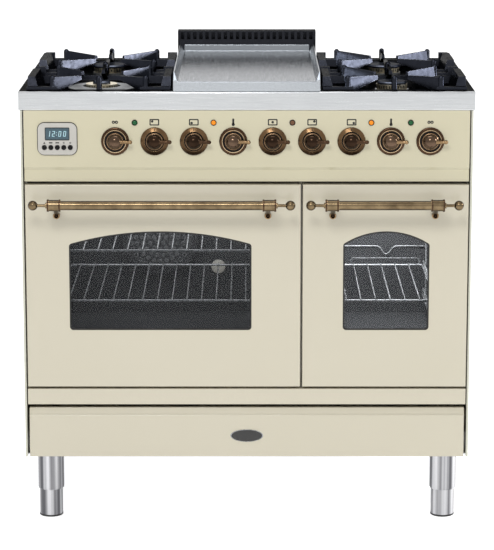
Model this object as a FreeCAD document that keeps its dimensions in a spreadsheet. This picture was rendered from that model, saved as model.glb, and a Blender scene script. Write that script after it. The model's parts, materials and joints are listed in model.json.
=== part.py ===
import FreeCAD, Part
import math
import os
import re
import Sketcher

# Every sub-part is drawn in one frame: X to the right, Y the depth behind the front plane of
# the hob rail, Z up from the floor. Its own Placement then centres the cooker over the origin.

DIMS = {
    # whole cooker
    "overall_width": 900,
    "overall_depth": 600,
    "handle_reach": 57,
    "hob_level": 875,
    "rail_foot": 838,
    "body_foot": 133,
    "body_half": 447,
    "side_gauge": 4,
    "side_skin": 1.5,
    "sheet_gauge": 2,
    "frame_depth": 46,
    "back_depth": 575,
    "louvre_across": 200,
    "louvre_half": 90,
    "louvre_first": 660,
    "louvre_pitch": 18,
    "louvre_height": 6,
    "manifold_radius": 8,
    "inlet_across": -400,
    # hob
    "hob_front": 10,
    "tray_drop": 15,
    "tray_inner": 150,
    "tray_outer": 438,
    "tray_front": 38,
    "tray_back": 552,
    "burner_across": 293,
    "front_burner_depth": 140,
    "rear_burner_depth": 434,
    "griddle_half": 145,
    "griddle_back": 560,
    "griddle_rise": 20,
    "vent_half": 150,
    "vent_rise": 63,
    "vent_slots": 22,
    "vent_pitch": 13.3,
    "vent_slot_width": 7.6,
    "vent_slot_foot": 18,
    "vent_slot_top": 2.5,
    # grates
    "grate_bar": 9,
    "grate_split": 286,
    "front_grate_reach": 133,
    "rear_grate_reach": 141,
    "grate_inset": 1.5,
    "bar_foot": -10,
    "bar_top": -1,
    "stub_top": 5,
    "stub_length": 54,
    "end_length": 60,
    "hump_top": 22,
    "hump_half": 70,
    "hump_width": 14.5,
    "hump_draft": 8.5,
    "block_top": 18,
    "block_width": 20,
    "block_depth": 14,
    "blade_foot": -9,
    "blade_foot_half": 6,
    "blade_top_half": 2.5,
    "blade_tip_foot": 13,
    "blade_tip_top": 20,
    "blade_root_top": 23.6,
    "post_radius": 5.5,
    "wide_cap_radius": 67,
    "wide_cap_bore": 38,
    # control panel, knobs and lamps
    "panel_half": 440.5,
    "panel_face": 2,
    "panel_crease": 725,
    "panel_foot": 696,
    "lip_back": 4,
    "knob_level": 777,
    "knob_first": -260,
    "knob_pitch": 77.8,
    "stem_radius": 4,
    "stem_clearance": 0.06,
    "bezel_radius": 27.8,
    "lamp_level": 814,
    "lamp_radius": 5.8,
    "timer_centre": -374,
    "timer_level": 782,
    "timer_width": 76.6,
    "timer_height": 63,
    "button_pitch": 12.8,
    "button_level": 765,
    "button_radius": 4.7,
    # doors
    "door_foot": 278.6,
    "door_top": 690,
    "panel_thickness": 18,
    "door_thickness": 40,
    "skin_gauge": 3,
    "left_door_min": -440,
    "left_door_max": 107.3,
    "right_door_min": 111.3,
    "right_door_max": 440.5,
    "left_window_min": -354,
    "left_window_max": 9.5,
    "right_window_min": 192,
    "right_window_max": 364,
    "window_foot": 395.4,
    "window_top": 596.5,
    "window_rise": 26,
    "hinge_depth": 7,
    "hinge_level": 285,
    "hinge_inset": 40,
    "pin_radius": 2,
    "pin_clearance": 0.05,
    # handles
    "handle_level": 656,
    "handle_stand": 45,
    "bar_radius": 9.1,
    "cup_radius": 12,
    "cup_length": 27,
    "ball_radius": 9.8,
    "ball_offset": 28,
    "post_foot_drop": 26,
    "left_bar_min": -366,
    "left_bar_max": 31,
    "right_bar_min": 181.5,
    "right_bar_max": 362.5,
    # ovens
    "oven_floor": 330,
    "oven_roof": 650,
    "oven_back": 480,
    "left_oven_min": -391,
    "left_oven_max": 59,
    "right_oven_min": 161,
    "right_oven_max": 391,
    "flange": 25,
    "rack_front": 70,
    "rack_back": 450,
    "rack_margin": 9,
    "rack_frame_radius": 2.4,
    "rack_wire_radius": 1.4,
    "rack_pitch": 29.8,
    "upper_rack_level": 544,
    "lower_rack_level": 441,
    "spare_rack_level": 380,
    "guide_radius": 2.5,
    "fan_across": -188,
    "fan_level": 500,
    "fan_cover_radius": 82,
    "element_front": 100,
    "element_back": 420,
    "element_radius": 3.4,
    # drawer
    "strip_foot": 242,
    "strip_top": 273.9,
    "drawer_half": 438.5,
    "drawer_top": 234,
    "drawer_front_back": 22,
    "drawer_floor": 145,
    "drawer_wall_top": 225,
    "drawer_box_half": 415,
    "drawer_box_back": 520,
    "runner_top": 172,
    # legs
    "leg_across": 400,
    "front_leg_depth": 45,
    "back_leg_depth": 555,
    "sleeve_radius": 27.2,
    "foot_radius": 24,
    "sleeve_foot": 57,
    "leg_clearance": 0.4,
}

# The depth frame is moved by this much along Y, so the bounding box is centred.
FRONT = "(handle_reach - overall_depth) / 2"

ALONG = {
    "x": FreeCAD.Rotation(FreeCAD.Vector(0, 1, 0), 90),
    "y": FreeCAD.Rotation(FreeCAD.Vector(1, 0, 0), -90),
    "front": FreeCAD.Rotation(FreeCAD.Vector(1, 0, 0), 90),
    "z": FreeCAD.Rotation(),
}

# Burners: node prefix, side of the hob, depth, radii of the cap and of the ring under it, and
# how far from the centre the grate's blades end.
BURNERS = (
    ("rear_left", "0 - burner_across", "rear_burner_depth", 35, 32.5, 41),
    ("front_left", "0 - burner_across", "front_burner_depth", 17.5, 32, 57),
    ("rear_right", "burner_across", "rear_burner_depth", 35, 32.5, 41),
    ("front_right", "burner_across", "front_burner_depth", 30, 31, 46),
)

# Knobs from left to right; the gas ones sit on a wide bevelled bezel.
KNOBS = (
    ("left_oven_function_knob", False),
    ("rear_left_gas_knob", True),
    ("front_left_gas_knob", True),
    ("left_oven_thermostat_knob", False),
    ("griddle_gas_knob", True),
    ("rear_right_gas_knob", True),
    ("front_right_gas_knob", True),
    ("right_oven_thermostat_knob", False),
    ("right_oven_function_knob", False),
)

# Share of a length along a diagonal that counts across, or in depth.
DIAGONAL = math.sqrt(0.5)

LAMP_PLACES = (0.5, 2.5, 4.5, 6.5, 7.5)
BUTTON_COUNT = 5
LOUVRE_ROWS = 8
FAN_BLADES = 8

DOC = FreeCAD.newDocument("range_cooker")
NODES = []


def fill_sheet():
    """Writes the driving dimensions, one named cell each."""
    sheet = DOC.addObject("Spreadsheet::Sheet", "dims")
    for row, (alias, value) in enumerate(DIMS.items(), 1):
        sheet.set(f"A{row}", alias)
        sheet.set(f"B{row}", str(value))
        sheet.setAlias(f"B{row}", alias)
    DOC.recompute()


def linked(formula):
    """Turns the names of dimensions in a formula into references to the sheet."""
    def cell(word):
        return "dims." + word[0] if word[0] in DIMS else word[0]
    return re.sub(r"[a-z_]+", cell, str(formula))


def bind(item, formulas):
    for name, formula in formulas.items():
        item.setExpression(name, linked(formula))


def place(item, corner):
    for axis, formula in zip("xyz", corner):
        item.setExpression(f".Placement.Base.{axis}", linked(formula))


def node(item, label, x="0", y="0", z="0"):
    """Names a finished sub-part and puts it at its place in the cooker."""
    item.Label = label
    place(item, (x, f"{FRONT} + ({y})", z))
    NODES.append(item)
    return item


# ---------------------------------------------------------------- solids

def box(name, low, high):
    """A block between two opposite corners."""
    block = DOC.addObject("Part::Box", name)
    for side, near, far in zip(("Length", "Width", "Height"), low, high):
        bind(block, {side: f"({far}) - ({near})"})
    place(block, low)
    return block


def rod(name, start, radius, length, axis):
    """A cylinder that runs from its start along an axis."""
    bar = DOC.addObject("Part::Cylinder", name)
    bind(bar, {"Radius": radius, "Height": length})
    bar.Placement.Rotation = ALONG[axis]
    place(bar, start)
    return bar


def taper(name, start, first_radius, last_radius, length, axis):
    """A cone's frustum that runs from its start along an axis."""
    cone = DOC.addObject("Part::Cone", name)
    bind(cone, {"Radius1": first_radius, "Radius2": last_radius, "Height": length})
    cone.Placement.Rotation = ALONG[axis]
    place(cone, start)
    return cone


def ball(name, centre, radius):
    sphere = DOC.addObject("Part::Sphere", name)
    bind(sphere, {"Radius": radius})
    place(sphere, centre)
    return sphere


def join(name, pieces):
    if len(pieces) == 1:
        return pieces[0]
    whole = DOC.addObject("Part::MultiFuse", name)
    whole.Shapes = pieces
    whole.Refine = True
    return whole


def cut(name, base, tools):
    rest = DOC.addObject("Part::Cut", name)
    rest.Base = base
    rest.Tool = join(name + "_tools", tools)
    return rest


def group(name, pieces):
    """Several separate solids of one kind in one sub-part."""
    bundle = DOC.addObject("Part::Compound", name)
    bundle.Links = pieces
    return bundle


# ---------------------------------------------------------------- sketches

def new_body(name):
    return DOC.addObject("PartDesign::Body", name)


def new_sketch(body, name, role, offset="0"):
    """A sketch on one of the body's own origin planes, moved along the plane's normal."""
    plane = next(item for item in body.Origin.OriginFeatures if item.Role == role)
    sketch = body.newObject("Sketcher::SketchObject", name)
    sketch.AttachmentSupport = [(plane, "")]
    sketch.MapMode = "FlatFace"
    bind(sketch, {".AttachmentOffset.Base.z": offset})
    return sketch


def hold(sketch, kind, line, end, rough, formula):
    """Holds one end of a line at a distance from the sketch's origin."""
    number = sketch.addConstraint(Sketcher.Constraint(kind, -1, 1, line, end, rough))
    bind(sketch, {f"Constraints[{number}]": formula})


def rough_point(index, count):
    turn = 2 * math.pi * index / count
    return FreeCAD.Vector(100 * math.cos(turn), 100 * math.sin(turn), 0)


def outline(sketch, points):
    """A closed outline of straight lines whose corners are held by formulas."""
    count = len(points)
    rough = [rough_point(index, count) for index in range(count)]
    for index in range(count):
        sketch.addGeometry(Part.LineSegment(rough[index], rough[(index + 1) % count]))
    for index in range(count):
        following = (index + 1) % count
        sketch.addConstraint(Sketcher.Constraint("Coincident", index, 2, following, 1))
    for index, (across, up) in enumerate(points):
        hold(sketch, "DistanceX", index, 1, rough[index].x, across)
        hold(sketch, "DistanceY", index, 1, rough[index].y, up)


def rectangle(sketch, low, high):
    outline(sketch, [low, (high[0], low[1]), high, (low[0], high[1])])


def arched(sketch, left, right, foot, top, rise):
    """A rectangle whose top edge is an arc; all five sizes are names of dimensions."""
    shoulder = DIMS[top] - DIMS[rise]
    corners = [FreeCAD.Vector(DIMS[left], shoulder, 0), FreeCAD.Vector(DIMS[left], DIMS[foot], 0),
               FreeCAD.Vector(DIMS[right], DIMS[foot], 0), FreeCAD.Vector(DIMS[right], shoulder, 0)]
    for first, last in zip(corners, corners[1:]):
        sketch.addGeometry(Part.LineSegment(first, last))
    crown = FreeCAD.Vector((DIMS[left] + DIMS[right]) / 2, DIMS[top], 0)
    sketch.addGeometry(Part.Arc(corners[3], crown, corners[0]))
    for first, last in ((0, 1), (1, 2)):
        sketch.addConstraint(Sketcher.Constraint("Coincident", first, 2, last, 1))
    arc = sketch.Geometry[3]
    ends = (1, 2) if arc.StartPoint.distanceToPoint(corners[3]) < 1 else (2, 1)
    sketch.addConstraint(Sketcher.Constraint("Coincident", 2, 2, 3, ends[0]))
    sketch.addConstraint(Sketcher.Constraint("Coincident", 3, ends[1], 0, 1))
    shoulder_level = f"{top} - {rise}"
    for line, end, corner, across, up in (
            (0, 1, corners[0], left, shoulder_level), (1, 1, corners[1], left, foot),
            (2, 1, corners[2], right, foot), (2, 2, corners[3], right, shoulder_level)):
        hold(sketch, "DistanceX", line, end, corner.x, across)
        hold(sketch, "DistanceY", line, end, corner.y, up)
    number = sketch.addConstraint(Sketcher.Constraint("Radius", 3, arc.Radius))
    half_span = f"(({right}) - ({left})) / 2"
    bow = f"({half_span} * {half_span} + {rise} * {rise}) / (2 * {rise})"
    bind(sketch, {f"Constraints[{number}]": bow})


def pad(body, name, sketch, length):
    feature = body.newObject("PartDesign::Pad", name)
    feature.Profile = sketch
    bind(feature, {"Length": length})
    sketch.Visibility = False
    return feature


def pocket(body, name, sketch, length, towards_normal=False):
    feature = body.newObject("PartDesign::Pocket", name)
    feature.Profile = sketch
    feature.Reversed = towards_normal
    bind(feature, {"Length": length})
    return feature


def edges_inside(shape, low, high, along=None):
    """Names of the edges within a box, or only those that run along one axis."""
    names = []
    for number, edge in enumerate(shape.Edges, 1):
        room = edge.BoundBox
        inside = (room.XMin > low[0] and room.YMin > low[1] and room.ZMin > low[2]
                  and room.XMax < high[0] and room.YMax < high[1] and room.ZMax < high[2])
        sizes = {"x": room.XLength, "y": room.YLength, "z": room.ZLength}
        straight = along is None or (sizes[along] > 1 and sum(sizes.values()) - sizes[along] < 0.01)
        if inside and straight:
            names.append(f"Edge{number}")
    return names


def fillet(body, name, base, edges, radius):
    feature = body.newObject("PartDesign::Fillet", name)
    feature.Base = (base, edges)
    bind(feature, {"Radius": radius})
    return feature


def bar_of_profile(name, points, start, length):
    """A straight bar along X whose section is drawn as depth and level."""
    body = new_body(name)
    sketch = new_sketch(body, name + "_section", "YZ_Plane", start)
    outline(sketch, points)
    pad(body, name + "_pad", sketch, length)
    return body


# ---------------------------------------------------------------- cabinet

def side_panels():
    panels = []
    for side, sign in (("left", -1), ("right", 1)):
        outer = f"{sign} * body_half"
        inner = f"{sign} * (body_half - side_gauge)"
        low, high = (outer, inner) if sign < 0 else (inner, outer)
        sheet = box(f"{side}_side", (low, 1, "body_foot"), (high, "overall_depth - 2", "rail_foot"))
        skin = f"{sign} * (body_half - side_skin)"
        past = f"{inner} - {sign}"
        low, high = (skin, past) if sign < 0 else (past, skin)
        hollow = box(f"{side}_side_hollow", (low, "frame_depth + 6", "runner_top + 8"),
                     (high, "back_depth - 10", "rail_foot - 12"))
        panels.append(cut(f"{side}_side_cut", sheet, [hollow]))
    node(group("side_panel_pair", panels), "side_panels")


def back_panel():
    inner = "(body_half - side_gauge)"
    sheet = box("back_sheet", (f"0 - {inner}", "back_depth", "body_foot"),
                (inner, "back_depth + sheet_gauge", "rail_foot"))
    louvres = []
    for side in (-1, 1):
        for row in range(LOUVRE_ROWS):
            level = f"louvre_first + {row} * louvre_pitch"
            centre = f"{side} * louvre_across"
            low = (f"{centre} - louvre_half", "back_depth - 5", level)
            high = (f"{centre} + louvre_half", "back_depth + 10", f"{level} + louvre_height")
            louvres.append(box("louvre", low, high))
    pipe_hole = rod("pipe_hole", ("inlet_across", "back_depth - 5", "knob_level"),
                    "manifold_radius + 0.5", 15, "y")
    node(cut("back_cut", sheet, louvres + [pipe_hole]), "back_panel")


def base_frame():
    inner = "(body_half - side_gauge)"
    floor = box("base_floor", (f"0 - {inner}", 24, "body_foot"), (inner, "back_depth", "body_foot + 2"))
    pieces = [floor]
    for side in (-1, 1):
        edges = (f"{side} * {inner}", f"{side} * (drawer_box_half + 4)")
        low, high = edges if side < 0 else edges[::-1]
        pieces.append(box("runner", (low, "frame_depth + 4", "body_foot + 1"),
                          (high, "back_depth - 5", "runner_top")))
    node(join("base_join", pieces), "base_frame")


def front_frame():
    inner = "(body_half - side_gauge)"
    plate = box("frame_plate", (f"0 - {inner}", "frame_depth", "strip_foot"),
                (inner, "frame_depth + sheet_gauge", "panel_foot + 2"))
    strip = box("frame_strip", ("0 - panel_half", "panel_face", "strip_foot"),
                ("panel_half", "frame_depth + 1", "strip_top"))
    hollow = box("strip_hollow", ("5 - panel_half", "panel_face + 2", "strip_foot - 1"),
                 ("panel_half - 5", "frame_depth - 1", "strip_top - 2"))
    mouths = [
        box("frame_mouth", (f"{side}_oven_min - 2.5", "frame_depth - 5", "oven_floor - 2.5"),
            (f"{side}_oven_max + 2.5", "frame_depth + 5", "oven_roof + 2.5"))
        for side in ("left", "right")
    ]
    node(cut("frame_cut", join("frame_join", [plate, strip]), [hollow] + mouths), "front_frame")


def front_rail():
    """Folded front trim of the hob, closed at both ends and open at the back."""
    half = "overall_width / 2"
    body = new_body("front_rail_body")
    section = new_sketch(body, "rail_section", "YZ_Plane", f"0 - {half}")
    rectangle(section, (0, "rail_foot"), ("hob_front", "hob_level"))
    solid = pad(body, "rail_pad", section, "overall_width")
    DOC.recompute()
    brow = edges_inside(solid.Shape, (-460, -1, 830), (460, 1, 880), "x")
    fillet(body, "rail_round", solid, brow, 3)
    inside = new_sketch(body, "rail_inside", "YZ_Plane", f"{half} - 2")
    rectangle(inside, (2, "rail_foot + 2"), ("hob_front", "hob_level - 2"))
    DOC.recompute()
    pocket(body, "rail_hollow", inside, "overall_width - 4")
    node(body, "front_rail")


def leg_places():
    for depth in ("front_leg_depth", "back_leg_depth"):
        for side in (-1, 1):
            yield f"{side} * leg_across", depth


def leg_sleeves():
    sleeves = []
    for across, depth in leg_places():
        tube = rod("sleeve", (across, depth, "sleeve_foot + 3"), "sleeve_radius",
                   "body_foot - sleeve_foot - 3", "z")
        lip = taper("sleeve_lip", (across, depth, "sleeve_foot"), "sleeve_radius - 1.6",
                    "sleeve_radius", 3, "z")
        bore = rod("sleeve_bore", (across, depth, "sleeve_foot - 1"), "foot_radius + leg_clearance",
                   "body_foot - sleeve_foot - 4", "z")
        sleeves.append(cut("sleeve_cut", join("sleeve_join", [tube, lip]), [bore]))
    node(group("sleeve_group", sleeves), "leg_sleeves")


def levelling_feet():
    feet = []
    for across, depth in leg_places():
        toe = taper("foot_toe", (across, depth, 0), "foot_radius - 3", "foot_radius", 3, "z")
        shank = rod("foot_shank", (across, depth, 3), "foot_radius", 97, "z")
        feet.append(join("foot_join", [toe, shank]))
    node(group("foot_group", feet), "levelling_feet")


# ---------------------------------------------------------------- hob

def hob_top():
    """Pressed black top: skirt, two spill trays and an open well under the griddle."""
    half = "overall_width / 2"
    lid = box("hob_block", (f"0 - {half}", "hob_front", "rail_foot"),
              (half, "overall_depth", "hob_level"))
    under = box("hob_under", (f"5 - {half}", "hob_front + 2", "rail_foot - 1"),
                (f"{half} - 5", "overall_depth - 2", "hob_level - 2"))
    shell = cut("hob_shell", lid, [under])
    trays = []
    hollows = []
    for name, low, high in (("left", "0 - tray_outer", "0 - tray_inner"),
                            ("right", "tray_inner", "tray_outer")):
        trays.append(box(name + "_tray", (f"{low} - 2", "tray_front", "hob_level - tray_drop - 2"),
                         (f"{high} + 2", "tray_back + 2", "hob_level - 1")))
        hollows.append(box(name + "_tray_hollow", (low, "tray_front", "hob_level - tray_drop"),
                           (high, "tray_back", "hob_level + 1")))
    for name, across, depth, *_ in BURNERS:
        hollows.append(rod(name + "_opening", (across, depth, "hob_level - tray_drop - 10"), 26, 15, "z"))
    hollows.append(box("griddle_well", ("10 - griddle_half", 24, "rail_foot"),
                       ("griddle_half - 10", "griddle_back - 20", "hob_level + 1")))
    whole = cut("hob_cut", join("hob_join", [shell] + trays), hollows)
    node(whole, "hob_top")


def wide_ring(across, depth):
    """Outer ring of the wide front-left burner, with its sloping annular top."""
    floor = "hob_level - tray_drop"
    rim = rod("wide_rim", (across, depth, floor), "wide_cap_radius - 5", 6.5, "z")
    plate = rod("wide_plate", (across, depth, f"{floor} + 6"), "wide_cap_radius", 2, "z")
    slope = taper("wide_slope", (across, depth, f"{floor} + 8"), "wide_cap_radius",
                  "wide_cap_radius - 9", 2.5, "z")
    bore = rod("wide_bore", (across, depth, f"{floor} - 1"), "wide_cap_bore", 13, "z")
    return cut("wide_cut", join("wide_join", [rim, plate, slope]), [bore])


def burner_bodies():
    cups = [wide_ring("0 - burner_across", "front_burner_depth")]
    floor = "hob_level - tray_drop"
    for _, across, depth, *_ in BURNERS:
        flange = rod("cup_flange", (across, depth, floor), 34, 4, "z")
        neck = rod("cup_neck", (across, depth, f"{floor} - 42"), 24, 44, "z")
        venturi = rod("cup_venturi", (across, f"{depth} - 60", f"{floor} - 32"), 7, 50, "y")
        cups.append(join("cup_join", [flange, neck, venturi]))
    node(group("cup_group", cups), "burner_bodies")


def flame_rings():
    """Port rings with their gas ports' drums."""
    rings = []
    foot = "hob_level - tray_drop + 4"
    for _, across, depth, _, radius, _ in BURNERS:
        outer = rod("ring_outer", (across, depth, foot), radius, 11, "z")
        bore = rod("ring_bore", (across, depth, f"{foot} + 2"), 8, 12, "z")
        rings.append(cut("ring_cut", outer, [bore]))
    node(group("ring_group", rings), "flame_rings")


def burner_caps():
    for name, across, depth, cap, *_ in BURNERS:
        spigot = rod(name + "_spigot", (0, 0, -5), 7.7, 5.5, "z")
        plate = rod(name + "_plate", (0, 0, 0), cap, 3.5, "z")
        crown = taper(name + "_crown", (0, 0, 3.5), cap, cap - 2.5, 2, "z")
        whole = join(name + "_cap_join", [spigot, plate, crown])
        node(whole, name + "_burner_cap", across, depth, "hob_level")


def finger(name, turn, tip, root):
    """A blade under the pan, lowest at its tip and thinner towards its top edge."""
    side_view = DOC.addObject("Part::Wedge", name + "_side_view")
    bind(side_view, {
        "Xmin": -10, "Xmax": 10, "Ymin": tip, "Ymax": root,
        "Zmin": "blade_tip_foot", "Zmax": "blade_tip_top",
        "X2min": -10, "X2max": 10, "Z2min": "blade_foot", "Z2max": "blade_root_top",
    })
    section = DOC.addObject("Part::Wedge", name + "_section")
    bind(section, {
        "Xmin": "0 - blade_foot_half", "Xmax": "blade_foot_half",
        "Ymin": "blade_foot - 1", "Ymax": "blade_root_top + 1",
        "Zmin": f"0 - ({root}) - 10", "Zmax": f"10 - {tip}",
        "X2min": "0 - blade_top_half", "X2max": "blade_top_half",
        "Z2min": f"0 - ({root}) - 10", "Z2max": f"10 - {tip}",
    })
    around = FreeCAD.Rotation(FreeCAD.Vector(0, 0, 1), turn)
    side_view.Placement.Rotation = around
    section.Placement.Rotation = around.multiply(ALONG["front"])
    blade = DOC.addObject("Part::MultiCommon", name + "_blade")
    blade.Shapes = [side_view, section]
    return blade


def post(name, across, depth):
    """Round post with a domed top at a blade's root."""
    height = "(blade_root_top - 2)"
    shaft = rod(name + "_shaft", (across, depth, "blade_foot"), "post_radius",
                f"{height} - blade_foot", "z")
    return [shaft, ball(name + "_dome", (across, depth, height), "post_radius")]


def hump(name, edge, inward):
    """Raised middle of a side rail, with slanted ends and inner side."""
    block = DOC.addObject("Part::Wedge", name)
    reach = "(hump_width + hump_draft)"
    low, low_top, high, high_top = "0", "0", reach, "hump_width"
    if inward < 0:
        low, low_top, high, high_top = f"0 - {reach}", "0 - hump_width", "0", "0"
    bind(block, {
        "Xmin": low, "Xmax": high, "Ymin": "bar_foot", "Ymax": "hump_top",
        "Zmin": "0 - hump_half - 5", "Zmax": "hump_half + 5",
        "X2min": low_top, "X2max": high_top, "Z2min": "0 - hump_half", "Z2max": "hump_half",
    })
    block.Placement.Rotation = ALONG["front"]
    place(block, (edge, 0, 0))
    return block


def from_edge(edge, inward, length):
    """The lower and the upper end of a length that runs inward from an edge."""
    end = f"{edge} + {inward} * {length}"
    return (edge, end) if inward > 0 else (end, edge)


def grate_frame(name, near, far, left, right, reach):
    """Low frame in the tray: bars and rails with raised ends, corner blocks, humps and stubs."""
    pieces = []
    bars = ((near, f"{near} + grate_bar"), (f"{far} - grate_bar", far))
    for first, last in bars:
        pieces.append(box(f"{name}_bar", (left, first, "bar_foot"), (right, last, "bar_top")))
    for inward, edge in ((1, left), (-1, right)):
        low, high = from_edge(edge, inward, "grate_bar")
        pieces.append(box(f"{name}_rail", (low, near, "bar_foot"), (high, far, "stub_top - 1")))
        pieces.append(hump(f"{name}_hump", edge, inward))
        low, high = from_edge(edge, inward, "end_length")
        for first, last in bars:
            pieces.append(box(f"{name}_end", (low, first, "bar_foot"), (high, last, "stub_top")))
        low, high = from_edge(edge, inward, "stub_length")
        for side in (-1, 1):
            centre = f"{side} * ({reach} * {DIAGONAL:.5f} - 4)"
            pieces.append(box(f"{name}_stub", (low, f"{centre} - grate_bar / 2", "bar_foot"),
                              (high, f"{centre} + grate_bar / 2", "stub_top")))
        low, high = from_edge(edge, inward, "block_width")
        pieces.append(box(f"{name}_far_block", (low, f"{far} - block_depth", "0 - tray_drop"),
                          (high, far, "block_top")))
        pieces.append(box(f"{name}_near_block", (low, near, "0 - tray_drop"),
                          (high, f"{near} + block_depth", "stub_top")))
    return pieces


def blades(name, near, far, reach, tip):
    """Four slanting blades and two straight ones, each with a post at its root."""
    pieces = []
    for turn, side, along in ((45, -1, 1), (135, -1, -1), (225, 1, -1), (315, 1, 1)):
        pieces.append(finger(f"{name}_{turn}", turn, tip, reach))
        across = f"{side * DIAGONAL:.5f} * ({reach} - 2)"
        depth = f"{along * DIAGONAL:.5f} * ({reach} - 2)"
        pieces += post(f"{name}_{turn}", across, depth)
    pieces.append(finger(f"{name}_rear_finger", 0, tip, f"{far} - 3"))
    pieces.append(finger(f"{name}_front_finger", 180, tip, f"0 - {near} - 3"))
    pieces += post(f"{name}_rear", 0, f"{far} - post_radius")
    pieces += post(f"{name}_front", 0, f"{near} + post_radius")
    return pieces


def grates():
    """One cast grate over each burner, split near the middle of the hob's depth."""
    spans = {
        "front": ("tray_front + 1.2", "grate_split - 1", "front_grate_reach"),
        "rear": ("grate_split + 1", "tray_back - 1.2", "rear_grate_reach"),
    }
    half = "((tray_outer - tray_inner) / 2 - grate_inset)"
    offset = "((tray_outer + tray_inner) / 2 - burner_across)"
    for name, across, depth, _, _, tip in BURNERS:
        row, side = name.split("_")
        front, back, reach = spans[row]
        near, far = f"(({front}) - {depth})", f"(({back}) - {depth})"
        middle = f"(0 - {offset})" if side == "left" else offset
        pieces = grate_frame(name, near, far, f"({middle} - {half})", f"({middle} + {half})", reach)
        pieces += blades(name, near, far, reach, tip)
        node(join(name + "_grate_join", pieces), name + "_grate", across, depth, "hob_level")


def griddle():
    """Fry-top: a plate with flaring side walls, an apron in front and a low rear lip."""
    body = new_body("griddle_body")
    section = new_sketch(body, "griddle_section", "XZ_Plane", "0 - griddle_back")
    top = "(hob_level + griddle_rise)"
    half = "griddle_half"
    outline(section, [
        (f"0 - {half}", "hob_level"), (f"0 - {half}", f"{top} + 17"), (f"2.5 - {half}", f"{top} + 17"),
        (f"9 - {half}", top), (f"{half} - 9", top), (f"{half} - 2.5", f"{top} + 17"),
        (half, f"{top} + 17"), (half, "hob_level"), (f"{half} - 3", "hob_level"),
        (f"{half} - 3", f"{top} - 8"), (f"3 - {half}", f"{top} - 8"), (f"3 - {half}", "hob_level"),
    ])
    pad(body, "griddle_pad", section, "griddle_back - 4")
    ramp = new_sketch(body, "griddle_ramp", "YZ_Plane", f"{half} + 1")
    outline(ramp, [(0, top), (26, f"{top} + 17.5"), (0, f"{top} + 17.5")])
    pocket(body, "griddle_ramp_cut", ramp, f"2 * {half} + 2")
    lip = box("griddle_lip", (f"9 - {half}", "griddle_back - 6", f"{top} - 1"),
              (f"{half} - 9", "griddle_back", f"{top} + 14"))
    apron = box("griddle_apron", (f"0 - {half}", 4, "hob_level"), (half, 7, top))
    tail = box("griddle_tail", (f"0 - {half}", "griddle_back - 3", "hob_level"),
               (half, "griddle_back", top))
    node(join("griddle_join", [body, lip, apron, tail]), "griddle_plate")


def vent_grille():
    body = new_body("vent_body")
    plan = new_sketch(body, "vent_plan", "XY_Plane", "hob_level")
    rectangle(plan, ("0 - vent_half", "griddle_back + 0.5"), ("vent_half", "overall_depth"))
    pad(body, "vent_pad", plan, "vent_rise")
    hollow = new_sketch(body, "vent_hollow_plan", "XY_Plane", "hob_level")
    rectangle(hollow, ("2 - vent_half", "griddle_back + 2.5"), ("vent_half - 2", "overall_depth - 2"))
    pocket(body, "vent_hollow", hollow, "vent_rise - 2", True)
    slots = []
    for number in range(int(DIMS["vent_slots"])):
        centre = f"({number} - (vent_slots - 1) / 2) * vent_pitch"
        left, right = f"{centre} - vent_slot_width / 2", f"{centre} + vent_slot_width / 2"
        foot = "hob_level + vent_rise - vent_slot_foot"
        top = "hob_level + vent_rise - vent_slot_top"
        slots.append(box("vent_slot", (left, "griddle_back - 2", foot), (right, "griddle_back + 4", top)))
    node(cut("vent_cut", body, slots), "vent_grille")


# ---------------------------------------------------------------- control panel

def knob_across(number):
    return f"knob_first + {number} * knob_pitch"


def control_panel():
    face = "panel_face"
    lip = "panel_face + lip_back"
    gauge = "sheet_gauge"
    back = "frame_depth"
    shell = bar_of_profile("panel_shell", [
        (face, "rail_foot"), (face, "panel_crease"), (lip, "panel_crease - 6"), (lip, "panel_foot"),
        (back, "panel_foot"), (back, f"panel_foot + {gauge}"),
        (f"{lip} + {gauge}", f"panel_foot + {gauge}"),
        (f"{lip} + {gauge}", "panel_crease - 7"), (f"{face} + {gauge}", "panel_crease - 1"),
        (f"{face} + {gauge}", f"rail_foot - {gauge}"), (back, f"rail_foot - {gauge}"),
        (back, "rail_foot"),
    ], "0 - panel_half", "2 * panel_half")
    holes = []
    for number in range(len(KNOBS)):
        across = knob_across(number)
        holes.append(rod("stem_hole", (across, -5, "knob_level"), "stem_radius + 2", 15, "y"))
    for number in LAMP_PLACES:
        across = knob_across(number)
        holes.append(rod("lamp_hole", (across, -5, "lamp_level"), "lamp_radius - 1", 15, "y"))
    half_width = "(timer_width / 2 - 4)"
    half_height = "(timer_height / 2 - 4)"
    holes.append(box("timer_hole", (f"timer_centre - {half_width}", -5, f"timer_level - {half_height}"),
                     (f"timer_centre + {half_width}", 15, f"timer_level + {half_height}")))
    node(cut("panel_cut", shell, holes), "control_panel")


def knob_bezels():
    bezels = []
    for number, (_, gas) in enumerate(KNOBS):
        across = knob_across(number)
        skirt = rod("bezel_skirt", (across, "panel_face", "knob_level"), "bezel_radius", 3, "front")
        crown = (across, "panel_face - 3", "knob_level")
        if gas:
            face = [taper("bezel_bevel", crown, "bezel_radius", 19.5, 4, "front")]
        else:
            face = [taper("bezel_slope", crown, "bezel_radius", "bezel_radius - 3", 2, "front"),
                    rod("bezel_ring", crown, 22.8, 4, "front")]
        bore = rod("bezel_bore", (across, "panel_face + 1", "knob_level"), 17.6, 12, "front")
        bezels.append(cut("bezel_cut", join("bezel_join", [skirt] + face), [bore]))
    node(group("bezel_group", bezels), "knob_bezels")


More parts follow.
